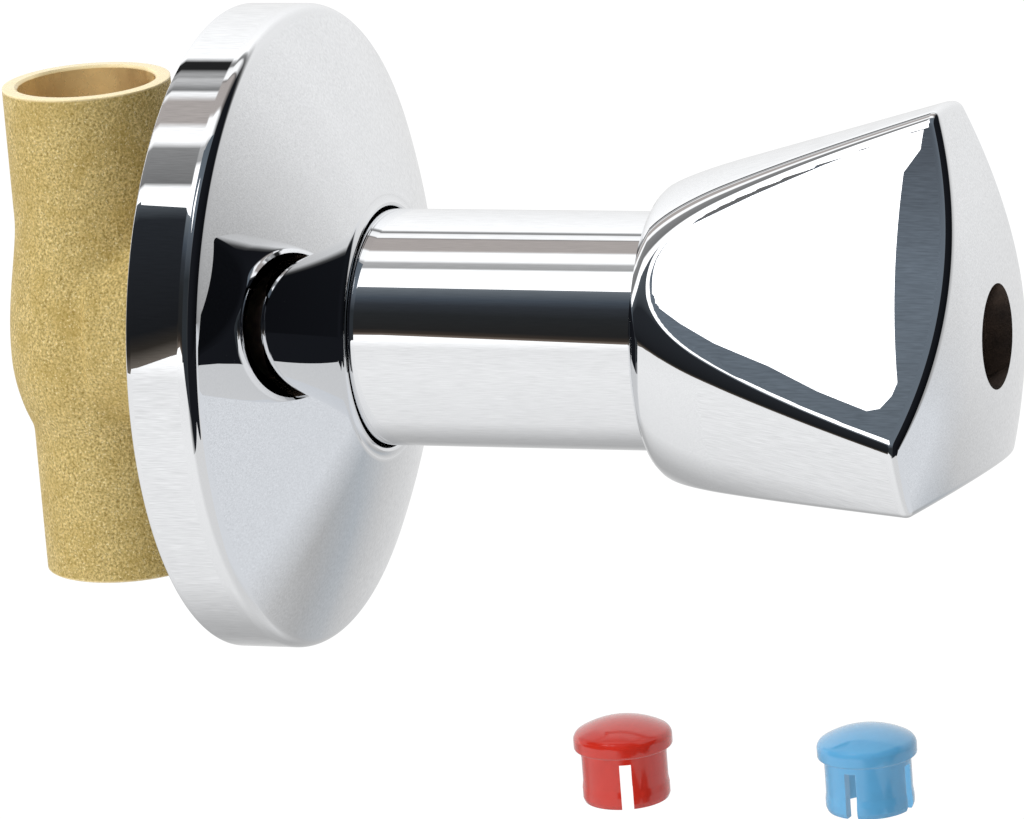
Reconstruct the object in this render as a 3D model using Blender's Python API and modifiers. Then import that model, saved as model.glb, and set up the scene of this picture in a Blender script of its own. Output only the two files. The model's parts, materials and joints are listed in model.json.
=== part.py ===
"""Concealed stop valve for a wall.

A cast brass body with two solder sockets for copper tube stands in the wall. A headwork with a
spindle that turns and doesn't rise closes it, a chrome sleeve and a rosette cover the headwork,
and a three-sided chrome handle turns the spindle. Two index caps stand in front of it.

The origin is where the axis of the pipe meets the axis of the spindle. The pipe runs along Z and
the handle points along -Y. Heights called "out" are distances from the pipe's axis along the
spindle, towards the handle.
"""

import bpy
import bmesh
from math import asin, atan2, cos, degrees, pi, radians, sin, sqrt, tan
from mathutils import Matrix, Vector

# Clearances
GAP = 0.0003
CUT_OVER = 0.002
SEAM = 0.0004
AXIS_MARK = 0.0100

# Roundness
FINE_STEPS = 48
ROUND_STEPS = 32
SMALL_STEPS = 20
PASSAGE_STEPS = 16
CAP_STEPS = 24

# Pipe and sockets of the body
TUBE_RADIUS = 0.0075
SOCKET_PLAY = 0.00005
SOCKET_DEPTH = 0.011
SOCKET_WALL = 0.00165
SOCKET_CHAMFER = 0.0003
WATERWAY_RADIUS = 0.0055
BODY_HALF_LENGTH = 0.0272

# Bulge round the seat
BULGE_RISE = 0.00175
BULGE_TOP = 0.0120
BULGE_BOTTOM = -0.0106
BULGE_PEAK = -0.0028
BULGE_UPPER_POWER = 1.3
BULGE_LOWER_POWER = 0.8

# Boss and spigot of the body
SEAT_OUT = 0.0046
SEAT_LIP_HEIGHT = 0.0008
SEAT_OPENING_RADIUS = 0.0045
SEAT_LIP_RADIUS = 0.0053
SEAT_THROAT_DEPTH = 0.0068
CHAMBER_RADIUS = 0.0083
BOSS_ROOT_RADIUS = 0.0107
BOSS_ROOT_OUT = 0.0020
BOSS_FLARE_OUT = 0.0040
COLLAR_RADIUS = 0.0132
COLLAR_BACK_OUT = 0.0128
COLLAR_FRONT_OUT = 0.0162
SPIGOT_LENGTH = 0.0038
SPIGOT_WALL = 0.0031
INLET_PASSAGE_RADIUS = 0.0042
OUTLET_PASSAGE_RADIUS = 0.0034
INLET_START_OUT = -0.0015
OUTLET_START_OUT = 0.0005
INLET_BEND_OUT = -0.0042
OUTLET_BEND_OUT = 0.0058
PASSAGE_START = 0.0130
OUTLET_BEND_RISE = 0.0091
INLET_BEND_RISE = 0.0010

# Headwork
BONNET_INNER_OUT = 0.0090
BONNET_COUNTERBORE_DEPTH = 0.0078
GASKET_THICKNESS = 0.0010
GASKET_RADIUS = 0.0103
FLANGE_THICKNESS = 0.0014
WRENCH_FLATS = 0.0170
WRENCH_LENGTH = 0.0070
NECK_RADIUS = 0.0065
NECK_LENGTH = 0.0160
NECK_CHAMFER = 0.0005
BONNET_WALL = 0.0012
HEX_BORE_FLATS = 0.0106

# Spindle
STEM_RADIUS = 0.0039
THREAD_RADIUS = 0.0028
THREAD_ENGAGEMENT = 0.0069
SPINDLE_COLLAR_RADIUS = 0.0050
SPINDLE_COLLAR_THICKNESS = 0.0018
THRUST_WASHER_THICKNESS = 0.0008
O_RING_WIRE = 0.0013
O_RING_FIRST_SETBACK = 0.0026
O_RING_PITCH = 0.0042
SLIP_WASHER_THICKNESS = 0.0008
SLIP_WASHER_RADIUS = 0.0063
CIRCLIP_WIRE = 0.0010
CIRCLIP_OPENING = radians(44)
SPLINE_TEETH = 24
SPLINE_DEPTH = 0.0004
SPLINE_LENGTH = 0.0130
SCREW_HOLE_RADIUS = 0.0019
SCREW_HOLE_DEPTH = 0.0100

# Valve carrier and seat washer
VALVE_TRAVEL = 0.0050
WASHER_THICKNESS = 0.0027
WASHER_RADIUS = 0.0060
CARRIER_FLANGE_RADIUS = 0.0064
CARRIER_FLANGE_THICKNESS = 0.0035
CARRIER_FLATS = 0.0100
CARRIER_LENGTH = 0.0156
CARRIER_FLOOR = 0.0033
CARRIER_RING_WIRE = 0.0012
CARRIER_SCREW_RADIUS = 0.0014
CARRIER_SCREW_LENGTH = 0.0019
CARRIER_SCREW_HEAD_RADIUS = 0.0027
CARRIER_SCREW_HEAD = 0.0015

# Cover sleeve
SLEEVE_RADIUS = 0.0128
SLEEVE_WALL = 0.0011
SLEEVE_END_OUT = 0.0702
SEAL_THICKNESS = 0.0007

# Rosette
ROSETTE_BACK_OUT = 0.0171
ROSETTE_SHOULDER_OUT = 0.0240
ROSETTE_RADIUS = 0.0350
ROSETTE_RIM_TAPER = 0.00025
ROSETTE_SHOULDER_ROUND = 0.0016
ROSETTE_NECK_OUT = 0.0327
ROSETTE_FLARE = 0.0036
ROSETTE_CONE = radians(19.5)
ROSETTE_LIP = 0.0004
ROSETTE_WALL = 0.0011
ROSETTE_NECK_DEPTH = 0.0055
ROSETTE_RING_THICKNESS = 0.0022
ROSETTE_RING_WIDTH = 0.0012

# Handle
HANDLE_RIM_OUT = 0.0659
HANDLE_RIM_RADIUS = 0.0155
HANDLE_SHOULDER = 0.0083
HANDLE_BACK_RADIUS = 0.0164
HANDLE_FRONT_RADIUS = 0.0249
HANDLE_FRONT_OUT = 0.0971
HANDLE_DOME_RADIUS = 0.0686
FLAT_DISTANCE = 0.0183
FLAT_HOLLOW = 0.0025
FLAT_LEAN = -0.0012
FLAT_DIRECTION = radians(54.5)
FLAT_STRIPS = 8
HANDLE_SIDES = 3
HANDLE_WALL = 0.0020
FLAT_WALL = 0.0011
HANDLE_BOSS_WALL = 0.0015
HANDLE_BOSS_LENGTH = 0.0136
HANDLE_END_WALL = 0.0012
HANDLE_PULL = 0.0015
SCREW_END_PLAY = 0.0012
INSERT_FLATS = 0.0128
CAP_HEAD_RADIUS = 0.0054
CAP_HEAD_EDGE = 0.0016
CAP_DOME = 0.0016
CAP_PLAY = 0.00015
CAP_BORE_RADIUS = 0.0049
CAP_BORE_DEPTH = 0.0084
HANDLE_SCREW_HEAD_RADIUS = 0.0039
HANDLE_SCREW_HEAD = 0.0017
SCREW_WASHER_THICKNESS = 0.0007
SCREW_SHANK_RADIUS = 0.0016
SCREW_SLOT = 0.0009

# Index caps, which stand in front of the valve
CAP_LEG_RADIUS = 0.0047
CAP_LEG_WALL = 0.0011
CAP_LEG_LENGTH = 0.0059
CAP_BEAD = 0.0001
CAP_BEAD_LENGTH = 0.0013
CAP_SLOT = 0.00115
CAP_SLOT_TOP_GAP = 0.0008
CAP_STAND_Z = -0.0527
CAPS = {"index_cap_red": (0.0563, radians(24.5), "red_plastic"),
        "index_cap_blue": (0.0841, radians(82.4), "blue_plastic")}

# Places along the spindle that follow from the sizes above
SOCKET_RADIUS = TUBE_RADIUS + SOCKET_PLAY
BARREL_RADIUS = SOCKET_RADIUS + SOCKET_WALL
SPIGOT_RADIUS = CHAMBER_RADIUS + SPIGOT_WALL
SPIGOT_FRONT_OUT = COLLAR_FRONT_OUT + SPIGOT_LENGTH
CHAMBER_FLOOR_OUT = SEAT_OUT - SEAT_LIP_HEIGHT
WASHER_OUT = SEAT_OUT + GAP
CARRIER_OUT = WASHER_OUT + WASHER_THICKNESS + GAP
CARRIER_HEX_OUT = CARRIER_OUT + CARRIER_FLANGE_THICKNESS
CARRIER_END_OUT = CARRIER_OUT + CARRIER_LENGTH
CARRIER_FLOOR_OUT = CARRIER_OUT + CARRIER_FLOOR
BONNET_HEX_BORE_OUT = BONNET_INNER_OUT + BONNET_COUNTERBORE_DEPTH
GASKET_OUT = SPIGOT_FRONT_OUT + GAP
FLANGE_OUT = GASKET_OUT + GASKET_THICKNESS + GAP
WRENCH_OUT = FLANGE_OUT + FLANGE_THICKNESS
NECK_OUT = WRENCH_OUT + WRENCH_LENGTH
BONNET_END_OUT = NECK_OUT + NECK_LENGTH
BONNET_THREAD_RADIUS = CHAMBER_RADIUS - GAP
COUNTERBORE_RADIUS = BONNET_THREAD_RADIUS - BONNET_WALL
STEM_BORE_RADIUS = STEM_RADIUS + GAP
SPINDLE_START_OUT = CARRIER_END_OUT - THREAD_ENGAGEMENT
SPINDLE_COLLAR_OUT = CARRIER_END_OUT + VALVE_TRAVEL + 2 * GAP
THRUST_WASHER_OUT = SPINDLE_COLLAR_OUT + SPINDLE_COLLAR_THICKNESS + GAP
BORE_SHOULDER_OUT = THRUST_WASHER_OUT + THRUST_WASHER_THICKNESS + GAP
O_RING_GROOVE_RADIUS = STEM_RADIUS - O_RING_WIRE - GAP
O_RING_OUT = BORE_SHOULDER_OUT + O_RING_FIRST_SETBACK
SLIP_WASHER_OUT = BONNET_END_OUT + GAP
CIRCLIP_OUT = SLIP_WASHER_OUT + SLIP_WASHER_THICKNESS + GAP
SEAL_OUT = COLLAR_FRONT_OUT + GAP
SLEEVE_OUT = SEAL_OUT + SEAL_THICKNESS + GAP
SLEEVE_BORE_RADIUS = SLEEVE_RADIUS - SLEEVE_WALL
RING_PLAY_RADIUS = SLEEVE_RADIUS + GAP
ROSETTE_POCKET_RADIUS = RING_PLAY_RADIUS + ROSETTE_RING_WIDTH + GAP
HANDLE_DOME_RISE = HANDLE_DOME_RADIUS - sqrt(HANDLE_DOME_RADIUS ** 2 - HANDLE_FRONT_RADIUS ** 2)
HANDLE_TOP_OUT = HANDLE_FRONT_OUT + HANDLE_DOME_RISE
CAP_SEAT_RADIUS = CAP_HEAD_RADIUS + CAP_PLAY
CAP_SEAT_OUT = HANDLE_TOP_OUT - CAP_HEAD_EDGE - CAP_DOME
SCREW_SEAT_OUT = CAP_SEAT_OUT - CAP_BORE_DEPTH
HANDLE_WEB_OUT = SCREW_SEAT_OUT - HANDLE_END_WALL
HANDLE_BOSS_BACK_OUT = HANDLE_WEB_OUT - HANDLE_BOSS_LENGTH
SPINDLE_END_OUT = HANDLE_WEB_OUT - HANDLE_PULL
SPLINE_OUT = SPINDLE_END_OUT - SPLINE_LENGTH
SCREW_WASHER_OUT = SCREW_SEAT_OUT + GAP
SCREW_HEAD_OUT = SCREW_WASHER_OUT + SCREW_WASHER_THICKNESS + GAP
SCREW_END_OUT = SPINDLE_END_OUT - SCREW_HOLE_DEPTH + SCREW_END_PLAY


def clear_scene():
    """Remove whatever objects the open file holds."""
    for thing in list(bpy.data.objects):
        bpy.data.objects.remove(thing, do_unlink=True)


def make_collection(name):
    collection = bpy.data.collections.new(name)
    bpy.context.scene.collection.children.link(collection)
    return collection


def make_materials():
    """One Principled material for each finish, as colour, metallic and roughness."""
    finishes = {
        "cast_brass": ((0.62, 0.46, 0.18, 1.0), 1.0, 0.45),
        "turned_brass": ((0.78, 0.60, 0.27, 1.0), 1.0, 0.25),
        "chrome": ((0.88, 0.89, 0.90, 1.0), 1.0, 0.06),
        "steel": ((0.66, 0.67, 0.68, 1.0), 1.0, 0.30),
        "black_rubber": ((0.03, 0.03, 0.03, 1.0), 0.0, 0.60),
        "fibre": ((0.45, 0.20, 0.12, 1.0), 0.0, 0.80),
        "white_plastic": ((0.86, 0.86, 0.83, 1.0), 0.0, 0.40),
        "red_plastic": ((0.72, 0.06, 0.04, 1.0), 0.0, 0.18),
        "blue_plastic": ((0.10, 0.42, 0.72, 1.0), 0.0, 0.18),
    }
    made = {}
    for name, (colour, metallic, roughness) in finishes.items():
        material = bpy.data.materials.new(name)
        material.use_nodes = True
        shader = material.node_tree.nodes["Principled BSDF"]
        shader.inputs["Base Color"].default_value = colour
        shader.inputs["Metallic"].default_value = metallic
        shader.inputs["Roughness"].default_value = roughness
        material.diffuse_color = colour
        made[name] = material
    return made


clear_scene()
PARTS = make_collection("concealed_stop_valve")
CUTTERS = make_collection("cutters")
FINISHES = make_materials()


def make_axis(name):
    """An empty on the spindle's axis, whose local Z points out along the handle."""
    empty = bpy.data.objects.new(name, None)
    empty.rotation_euler = (radians(90), 0, 0)
    empty.empty_display_size = AXIS_MARK
    PARTS.objects.link(empty)
    return empty


def place(name, mesh, parent, finish=None):
    """Put a mesh in the scene: a part with its own finish, or a cutter without one."""
    thing = bpy.data.objects.new(name, mesh)
    thing.parent = parent
    if finish is None:
        CUTTERS.objects.link(thing)
        thing.hide_render = True
        thing.display_type = "WIRE"
        return thing
    PARTS.objects.link(thing)
    own = FINISHES[finish].copy()
    own.name = name
    mesh.materials.append(own)
    return thing


def turned(name, profile, parent, finish=None, steps=ROUND_STEPS, closed=False):
    """Revolve a profile of (radius, height) points that runs down its outer side."""
    mesh = bpy.data.meshes.new(name)
    edges = [(i, i + 1) for i in range(len(profile) - 1)]
    if closed:
        edges.append((len(profile) - 1, 0))
    mesh.from_pydata([(radius, 0, height) for radius, height in profile], edges, [])
    thing = place(name, mesh, parent, finish)
    screw = thing.modifiers.new("turn", "SCREW")
    screw.steps = steps
    screw.render_steps = steps
    screw.use_merge_vertices = True
    screw.merge_threshold = 0.00001
    screw.use_smooth_shade = True
    return thing


def ring(name, inner, outer, low, high, parent, finish, steps=ROUND_STEPS):
    """A flat ring of rectangular section."""
    section = [(outer, high), (outer, low), (inner, low), (inner, high)]
    return turned(name, section, parent, finish, steps, closed=True)


def o_ring(name, groove, wire, height, parent, finish="black_rubber"):
    """A rubber ring of round section that lies in a groove of the given radius."""
    centre = groove + GAP + wire / 2
    section = arc(centre, height, wire / 2, 90, -270, 6)[:-1]
    return turned(name, section, parent, finish, SMALL_STEPS, closed=True)


def bar(name, sides, radius, low, high, parent, finish=None, turn=0.0):
    """An upright prism or cylinder from a cone primitive with equal radii."""
    mesh = bpy.data.meshes.new(name)
    shape = bmesh.new()
    middle = Matrix.Translation((0, 0, (low + high) / 2)) @ Matrix.Rotation(turn, 4, "Z")
    bmesh.ops.create_cone(shape, cap_ends=True, segments=sides, radius1=radius,
                          radius2=radius, depth=high - low, matrix=middle)
    shape.to_mesh(mesh)
    shape.free()
    return place(name, mesh, parent, finish)


def splined_bar(name, tip, root, low, high, parent, finish=None):
    """A bar with straight teeth: every other edge of a many-sided prism lies at the root."""
    thing = bar(name, 2 * SPLINE_TEETH, tip, low, high, parent, finish)
    step = pi / SPLINE_TEETH
    for vertex in thing.data.vertices:
        tooth = round(atan2(vertex.co.y, vertex.co.x) / step)
        if tooth % 2:
            vertex.co.x *= root / tip
            vertex.co.y *= root / tip
    return thing


def box(name, size, centre, parent, finish=None, turn=0.0):
    mesh = bpy.data.meshes.new(name)
    shape = bmesh.new()
    bmesh.ops.create_cube(shape, size=1.0)
    bmesh.ops.scale(shape, vec=size, verts=shape.verts)
    bmesh.ops.translate(shape, vec=centre, verts=shape.verts)
    bmesh.ops.rotate(shape, cent=(0, 0, 0), matrix=Matrix.Rotation(turn, 3, "Z"),
                     verts=shape.verts)
    shape.to_mesh(mesh)
    shape.free()
    return place(name, mesh, parent, finish)


def combine(target, tool, operation):
    step = target.modifiers.new(operation.lower() + "_" + tool.name, "BOOLEAN")
    step.operation = operation
    step.solver = "EXACT"
    step.object = tool


def cut(target, *tools):
    for tool in tools:
        combine(target, tool, "DIFFERENCE")


def join(target, *tools):
    for tool in tools:
        combine(target, tool, "UNION")


def arc(centre_radius, centre_height, radius, start, end, pieces):
    """Points on an arc in the profile's plane, with angles in degrees from outward."""
    points = []
    for i in range(pieces + 1):
        angle = radians(start + (end - start) * i / pieces)
        points.append((centre_radius + radius * cos(angle), centre_height + radius * sin(angle)))
    return points


def hexagon_radius(flats):
    """The corner radius of a hexagon of the given width across its flats."""
    return flats / sqrt(3)


def barrel_profile():
    """The cast barrel between its two ends, swelling round the seat."""
    top = BODY_HALF_LENGTH
    points = [(0, top), (BARREL_RADIUS - SOCKET_CHAMFER, top)]
    points.append((BARREL_RADIUS, top - SOCKET_CHAMFER))
    pieces = 5
    for i in range(pieces):
        share = i / pieces
        rise = sin(share * pi / 2) ** BULGE_UPPER_POWER
        height = BULGE_TOP + (BULGE_PEAK - BULGE_TOP) * share
        points.append((BARREL_RADIUS + BULGE_RISE * rise, height))
    for i in range(pieces):
        share = i / pieces
        rise = cos(share * pi / 2) ** BULGE_LOWER_POWER
        height = BULGE_PEAK + (BULGE_BOTTOM - BULGE_PEAK) * share
        points.append((BARREL_RADIUS + BULGE_RISE * rise, height))
    points.append((BARREL_RADIUS, BULGE_BOTTOM))
    points.append((BARREL_RADIUS, -top + SOCKET_CHAMFER))
    points += [(BARREL_RADIUS - SOCKET_CHAMFER, -top), (0, -top)]
    return points


def boss_profile():
    """The boss for the headwork: a spigot, a collar and a flare into the barrel."""
    chamfer = SOCKET_CHAMFER
    points = [(0, SPIGOT_FRONT_OUT), (SPIGOT_RADIUS - chamfer, SPIGOT_FRONT_OUT)]
    points += [(SPIGOT_RADIUS, SPIGOT_FRONT_OUT - chamfer), (SPIGOT_RADIUS, COLLAR_FRONT_OUT)]
    points += [(COLLAR_RADIUS - chamfer, COLLAR_FRONT_OUT)]
    points += [(COLLAR_RADIUS, COLLAR_FRONT_OUT - chamfer)]
    pieces = 5
    for i in range(pieces + 1):
        share = i / pieces
        radius = BOSS_ROOT_RADIUS + (COLLAR_RADIUS - BOSS_ROOT_RADIUS) * (1 - share) ** 2
        points.append((radius, COLLAR_BACK_OUT + (BOSS_FLARE_OUT - COLLAR_BACK_OUT) * share))
    points += [(BOSS_ROOT_RADIUS, BOSS_ROOT_OUT), (0, BOSS_ROOT_OUT)]
    return points


def socket_core(name, side, parent):
    """The straight core of one socket and its waterway, for the upper or the lower end."""
    mouth = BODY_HALF_LENGTH + CUT_OVER
    stop = BODY_HALF_LENGTH - SOCKET_DEPTH
    profile = [(0, mouth), (SOCKET_RADIUS, mouth), (SOCKET_RADIUS, stop)]
    profile += [(WATERWAY_RADIUS, stop), (WATERWAY_RADIUS, PASSAGE_START - SEAM)]
    profile += [(0, PASSAGE_START - SEAM)]
    if side < 0:
        profile = [(radius, -height) for radius, height in reversed(profile)]
    return turned(name, profile, parent, steps=ROUND_STEPS)


def passage(name, radius, start, end, parent):
    """A round passage with ball ends between two points (out, rise) in the middle plane."""
    start = Vector((0, start[1], start[0]))
    end = Vector((0, end[1], end[0]))
    length = (end - start).length
    section = arc(0, length, radius, 90, 0, 3) + arc(0, 0, radius, 0, -90, 3)
    section[0] = (0, section[0][1])
    section[-1] = (0, section[-1][1])
    core = turned(name, section, parent, steps=PASSAGE_STEPS)
    core.location = start
    core.rotation_euler = (end - start).to_track_quat("Z", "Y").to_euler()
    return core


def make_valve_body(axis):
    """The brass casting: barrel and boss joined, then cored as a globe valve is."""
    body = turned("valve_body", barrel_profile(), None, "cast_brass")
    boss = turned("boss", boss_profile(), axis, steps=ROUND_STEPS)
    join(body, boss)
    front = SPIGOT_FRONT_OUT + CUT_OVER
    seat_back = SEAT_OUT - SEAT_THROAT_DEPTH
    chamber_profile = [(0, front), (CHAMBER_RADIUS, front), (CHAMBER_RADIUS, CHAMBER_FLOOR_OUT)]
    chamber_profile += [(SEAT_LIP_RADIUS + SEAT_LIP_HEIGHT / 2, CHAMBER_FLOOR_OUT)]
    chamber_profile += [(SEAT_LIP_RADIUS, SEAT_OUT), (SEAT_OPENING_RADIUS, SEAT_OUT)]
    chamber_profile += [(SEAT_OPENING_RADIUS, seat_back), (0, seat_back)]
    chamber = turned("chamber_core", chamber_profile, axis, steps=ROUND_STEPS)
    inlet = passage("inlet_passage", INLET_PASSAGE_RADIUS, (INLET_START_OUT, -PASSAGE_START),
                    (INLET_BEND_OUT, INLET_BEND_RISE), axis)
    outlet = passage("outlet_passage", OUTLET_PASSAGE_RADIUS, (OUTLET_START_OUT, PASSAGE_START),
                     (OUTLET_BEND_OUT, OUTLET_BEND_RISE), axis)
    upper = socket_core("upper_socket_core", 1, None)
    lower = socket_core("lower_socket_core", -1, None)
    cut(body, chamber, upper, lower, inlet, outlet)


def make_bonnet(axis):
    """The headwork's body with its wrench hexagon, and its gasket."""
    chamfer = NECK_CHAMFER
    thread = BONNET_THREAD_RADIUS
    profile = [(0, BONNET_END_OUT), (NECK_RADIUS - chamfer, BONNET_END_OUT)]
    profile += [(NECK_RADIUS, BONNET_END_OUT - chamfer), (NECK_RADIUS, WRENCH_OUT)]
    profile += [(GASKET_RADIUS, WRENCH_OUT), (GASKET_RADIUS, FLANGE_OUT)]
    profile += [(thread, FLANGE_OUT), (thread, BONNET_INNER_OUT + chamfer)]
    profile += [(thread - chamfer, BONNET_INNER_OUT), (0, BONNET_INNER_OUT)]
    bonnet = turned("bonnet", profile, axis, "turned_brass")
    corner = hexagon_radius(WRENCH_FLATS)
    hexagon = bar("wrench_hexagon", 6, corner, WRENCH_OUT - SEAM, NECK_OUT, axis)
    drop = (corner - WRENCH_FLATS / 2) * 0.6
    crown = [(0, NECK_OUT + CUT_OVER), (WRENCH_FLATS / 2 - CUT_OVER / 0.6, NECK_OUT + CUT_OVER)]
    crown += [(corner + CUT_OVER, NECK_OUT - drop - CUT_OVER * 0.6), (corner + CUT_OVER, FLANGE_OUT)]
    crown += [(0, FLANGE_OUT)]
    combine(hexagon, turned("wrench_crown", crown, axis, steps=ROUND_STEPS), "INTERSECT")
    join(bonnet, hexagon)
    back = BONNET_INNER_OUT - CUT_OVER
    counterbore = bar("bonnet_counterbore", ROUND_STEPS, COUNTERBORE_RADIUS, back,
                      BONNET_HEX_BORE_OUT, axis)
    hex_bore = bar("bonnet_hexagon_bore", 6, hexagon_radius(HEX_BORE_FLATS), back,
                   BORE_SHOULDER_OUT, axis)
    stem_bore = bar("bonnet_stem_bore", SMALL_STEPS, STEM_BORE_RADIUS, BORE_SHOULDER_OUT - CUT_OVER,
                    BONNET_END_OUT + CUT_OVER, axis)
    cut(bonnet, counterbore, hex_bore, stem_bore)
    ring("bonnet_gasket", CHAMBER_RADIUS, GASKET_RADIUS, GASKET_OUT,
         GASKET_OUT + GASKET_THICKNESS, axis, "fibre", SMALL_STEPS)


def groove(radius, low, high):
    """The four profile points of a groove in the stem, from its upper edge down."""
    return [(STEM_RADIUS, high), (radius, high), (radius, low), (STEM_RADIUS, low)]


def make_spindle(axis, fixed_axis):
    """The spindle with its seals, rings and washers."""
    grooves = [O_RING_OUT, O_RING_OUT + O_RING_PITCH]
    circlip_groove = STEM_RADIUS - CIRCLIP_WIRE / 2 - GAP
    circlip_middle = CIRCLIP_OUT + CIRCLIP_WIRE / 2
    profile = [(0, SPLINE_OUT + SEAM), (STEM_RADIUS - SPLINE_DEPTH / 2, SPLINE_OUT + SEAM)]
    profile += [(STEM_RADIUS - SPLINE_DEPTH / 2, SPLINE_OUT), (STEM_RADIUS, SPLINE_OUT)]
    profile += groove(circlip_groove, CIRCLIP_OUT - GAP, CIRCLIP_OUT + CIRCLIP_WIRE + GAP)
    for middle in reversed(grooves):
        half = O_RING_WIRE / 2 + GAP
        profile += groove(O_RING_GROOVE_RADIUS, middle - half, middle + half)
    collar_top = SPINDLE_COLLAR_OUT + SPINDLE_COLLAR_THICKNESS
    profile += [(STEM_RADIUS, collar_top), (SPINDLE_COLLAR_RADIUS, collar_top)]
    profile += [(SPINDLE_COLLAR_RADIUS, SPINDLE_COLLAR_OUT), (THREAD_RADIUS, SPINDLE_COLLAR_OUT)]
    profile += [(THREAD_RADIUS, SPINDLE_START_OUT + NECK_CHAMFER)]
    profile += [(THREAD_RADIUS - NECK_CHAMFER, SPINDLE_START_OUT), (0, SPINDLE_START_OUT)]
    spindle = turned("spindle", profile, axis, "turned_brass", SMALL_STEPS)
    splines = splined_bar("spindle_splines", STEM_RADIUS, STEM_RADIUS - SPLINE_DEPTH,
                          SPLINE_OUT + SEAM / 2, SPINDLE_END_OUT, axis)
    join(spindle, splines)
    hole = bar("spindle_screw_hole", SMALL_STEPS, SCREW_HOLE_RADIUS,
               SPINDLE_END_OUT - SCREW_HOLE_DEPTH, SPINDLE_END_OUT + CUT_OVER, axis)
    cut(spindle, hole)
    for name, middle in zip(("spindle_o_ring_inner", "spindle_o_ring_outer"), grooves):
        o_ring(name, O_RING_GROOVE_RADIUS, O_RING_WIRE, middle, axis)
    ring("thrust_washer", STEM_BORE_RADIUS, SPINDLE_COLLAR_RADIUS, THRUST_WASHER_OUT,
         THRUST_WASHER_OUT + THRUST_WASHER_THICKNESS, axis, "white_plastic", SMALL_STEPS)
    ring("slip_washer", STEM_BORE_RADIUS, SLIP_WASHER_RADIUS, SLIP_WASHER_OUT,
         SLIP_WASHER_OUT + SLIP_WASHER_THICKNESS, fixed_axis, "turned_brass", SMALL_STEPS)
    make_circlip(axis, circlip_groove + GAP + CIRCLIP_WIRE / 2, circlip_middle)


def make_circlip(axis, radius, height):
    """A snap ring of round wire, open over a short arc."""
    curve = bpy.data.curves.new("circlip", "CURVE")
    curve.dimensions = "3D"
    curve.bevel_depth = CIRCLIP_WIRE / 2
    curve.bevel_resolution = 1
    curve.use_fill_caps = True
    spline = curve.splines.new("POLY")
    pieces = 20
    spline.points.add(pieces)
    for i, point in enumerate(spline.points):
        angle = CIRCLIP_OPENING / 2 + (2 * pi - CIRCLIP_OPENING) * i / pieces
        point.co = (radius * cos(angle), radius * sin(angle), height, 1)
    place("circlip", curve, axis, "steel")


def make_carrier(axis):
    """The hexagonal nut that carries the seat washer, with its ring, washer and screw."""
    ring_middle = CARRIER_HEX_OUT - CARRIER_RING_WIRE / 2 - 3 * GAP
    ring_half = CARRIER_RING_WIRE / 2 + GAP
    ring_groove = CARRIER_FLANGE_RADIUS - CARRIER_RING_WIRE - GAP / 2
    rim = CARRIER_FLANGE_RADIUS
    neck = CARRIER_FLATS / 2 - GAP
    profile = [(0, CARRIER_HEX_OUT + SEAM), (neck, CARRIER_HEX_OUT + SEAM), (neck, CARRIER_HEX_OUT)]
    profile += [(rim, CARRIER_HEX_OUT), (rim, ring_middle + ring_half)]
    profile += [(ring_groove, ring_middle + ring_half), (ring_groove, ring_middle - ring_half)]
    profile += [(rim, ring_middle - ring_half), (rim, CARRIER_OUT), (0, CARRIER_OUT)]
    carrier = turned("valve_carrier", profile, axis, "turned_brass", SMALL_STEPS)
    hexagon = bar("carrier_hexagon", 6, hexagon_radius(CARRIER_FLATS), CARRIER_HEX_OUT - SEAM,
                  CARRIER_END_OUT, axis)
    join(carrier, hexagon)
    nut_bore = bar("carrier_thread_bore", SMALL_STEPS, THREAD_RADIUS + GAP, CARRIER_FLOOR_OUT,
                   CARRIER_END_OUT + CUT_OVER, axis)
    hole_radius = CARRIER_SCREW_RADIUS + GAP
    screw_hole = bar("carrier_screw_hole", SMALL_STEPS, hole_radius, CARRIER_OUT - CUT_OVER,
                     CARRIER_OUT + CARRIER_SCREW_LENGTH + GAP, axis)
    cut(carrier, nut_bore, screw_hole)
    o_ring("carrier_o_ring", ring_groove, CARRIER_RING_WIRE - GAP / 2, ring_middle, axis)
    ring("seat_washer", hole_radius, WASHER_RADIUS, WASHER_OUT, WASHER_OUT + WASHER_THICKNESS,
         axis, "black_rubber", ROUND_STEPS)
    head_out = WASHER_OUT - GAP
    head = CARRIER_SCREW_HEAD_RADIUS
    shank = [(0, CARRIER_OUT + CARRIER_SCREW_LENGTH)]
    shank += [(CARRIER_SCREW_RADIUS, CARRIER_OUT + CARRIER_SCREW_LENGTH)]
    shank += [(CARRIER_SCREW_RADIUS, head_out), (head, head_out)]
    shank += [(head, head_out - CARRIER_SCREW_HEAD * 0.6)]
    shank += [(head * 0.75, head_out - CARRIER_SCREW_HEAD), (0, head_out - CARRIER_SCREW_HEAD)]
    screw = turned("washer_screw", shank, axis, "turned_brass", SMALL_STEPS)
    slot_height = head_out - CARRIER_SCREW_HEAD
    slot = box("washer_screw_slot", (4 * head, SCREW_SLOT, CARRIER_SCREW_HEAD),
               (0, 0, slot_height), axis)
    cut(screw, slot)


def make_cover_sleeve(axis):
    """The chrome tube round the headwork, with the seal at its back end."""
    edge = SLEEVE_WALL / 3
    outer = SLEEVE_RADIUS
    inner = SLEEVE_BORE_RADIUS
    profile = [(outer - edge, SLEEVE_END_OUT), (outer, SLEEVE_END_OUT - edge), (outer, SLEEVE_OUT)]
    profile += [(inner, SLEEVE_OUT), (inner, SLEEVE_END_OUT)]
    turned("cover_sleeve", profile, axis, "chrome", FINE_STEPS, closed=True)
    ring("sleeve_seal", SPIGOT_RADIUS + GAP, SLEEVE_RADIUS, SEAL_OUT, SEAL_OUT + SEAL_THICKNESS,
         axis, "black_rubber")


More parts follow.
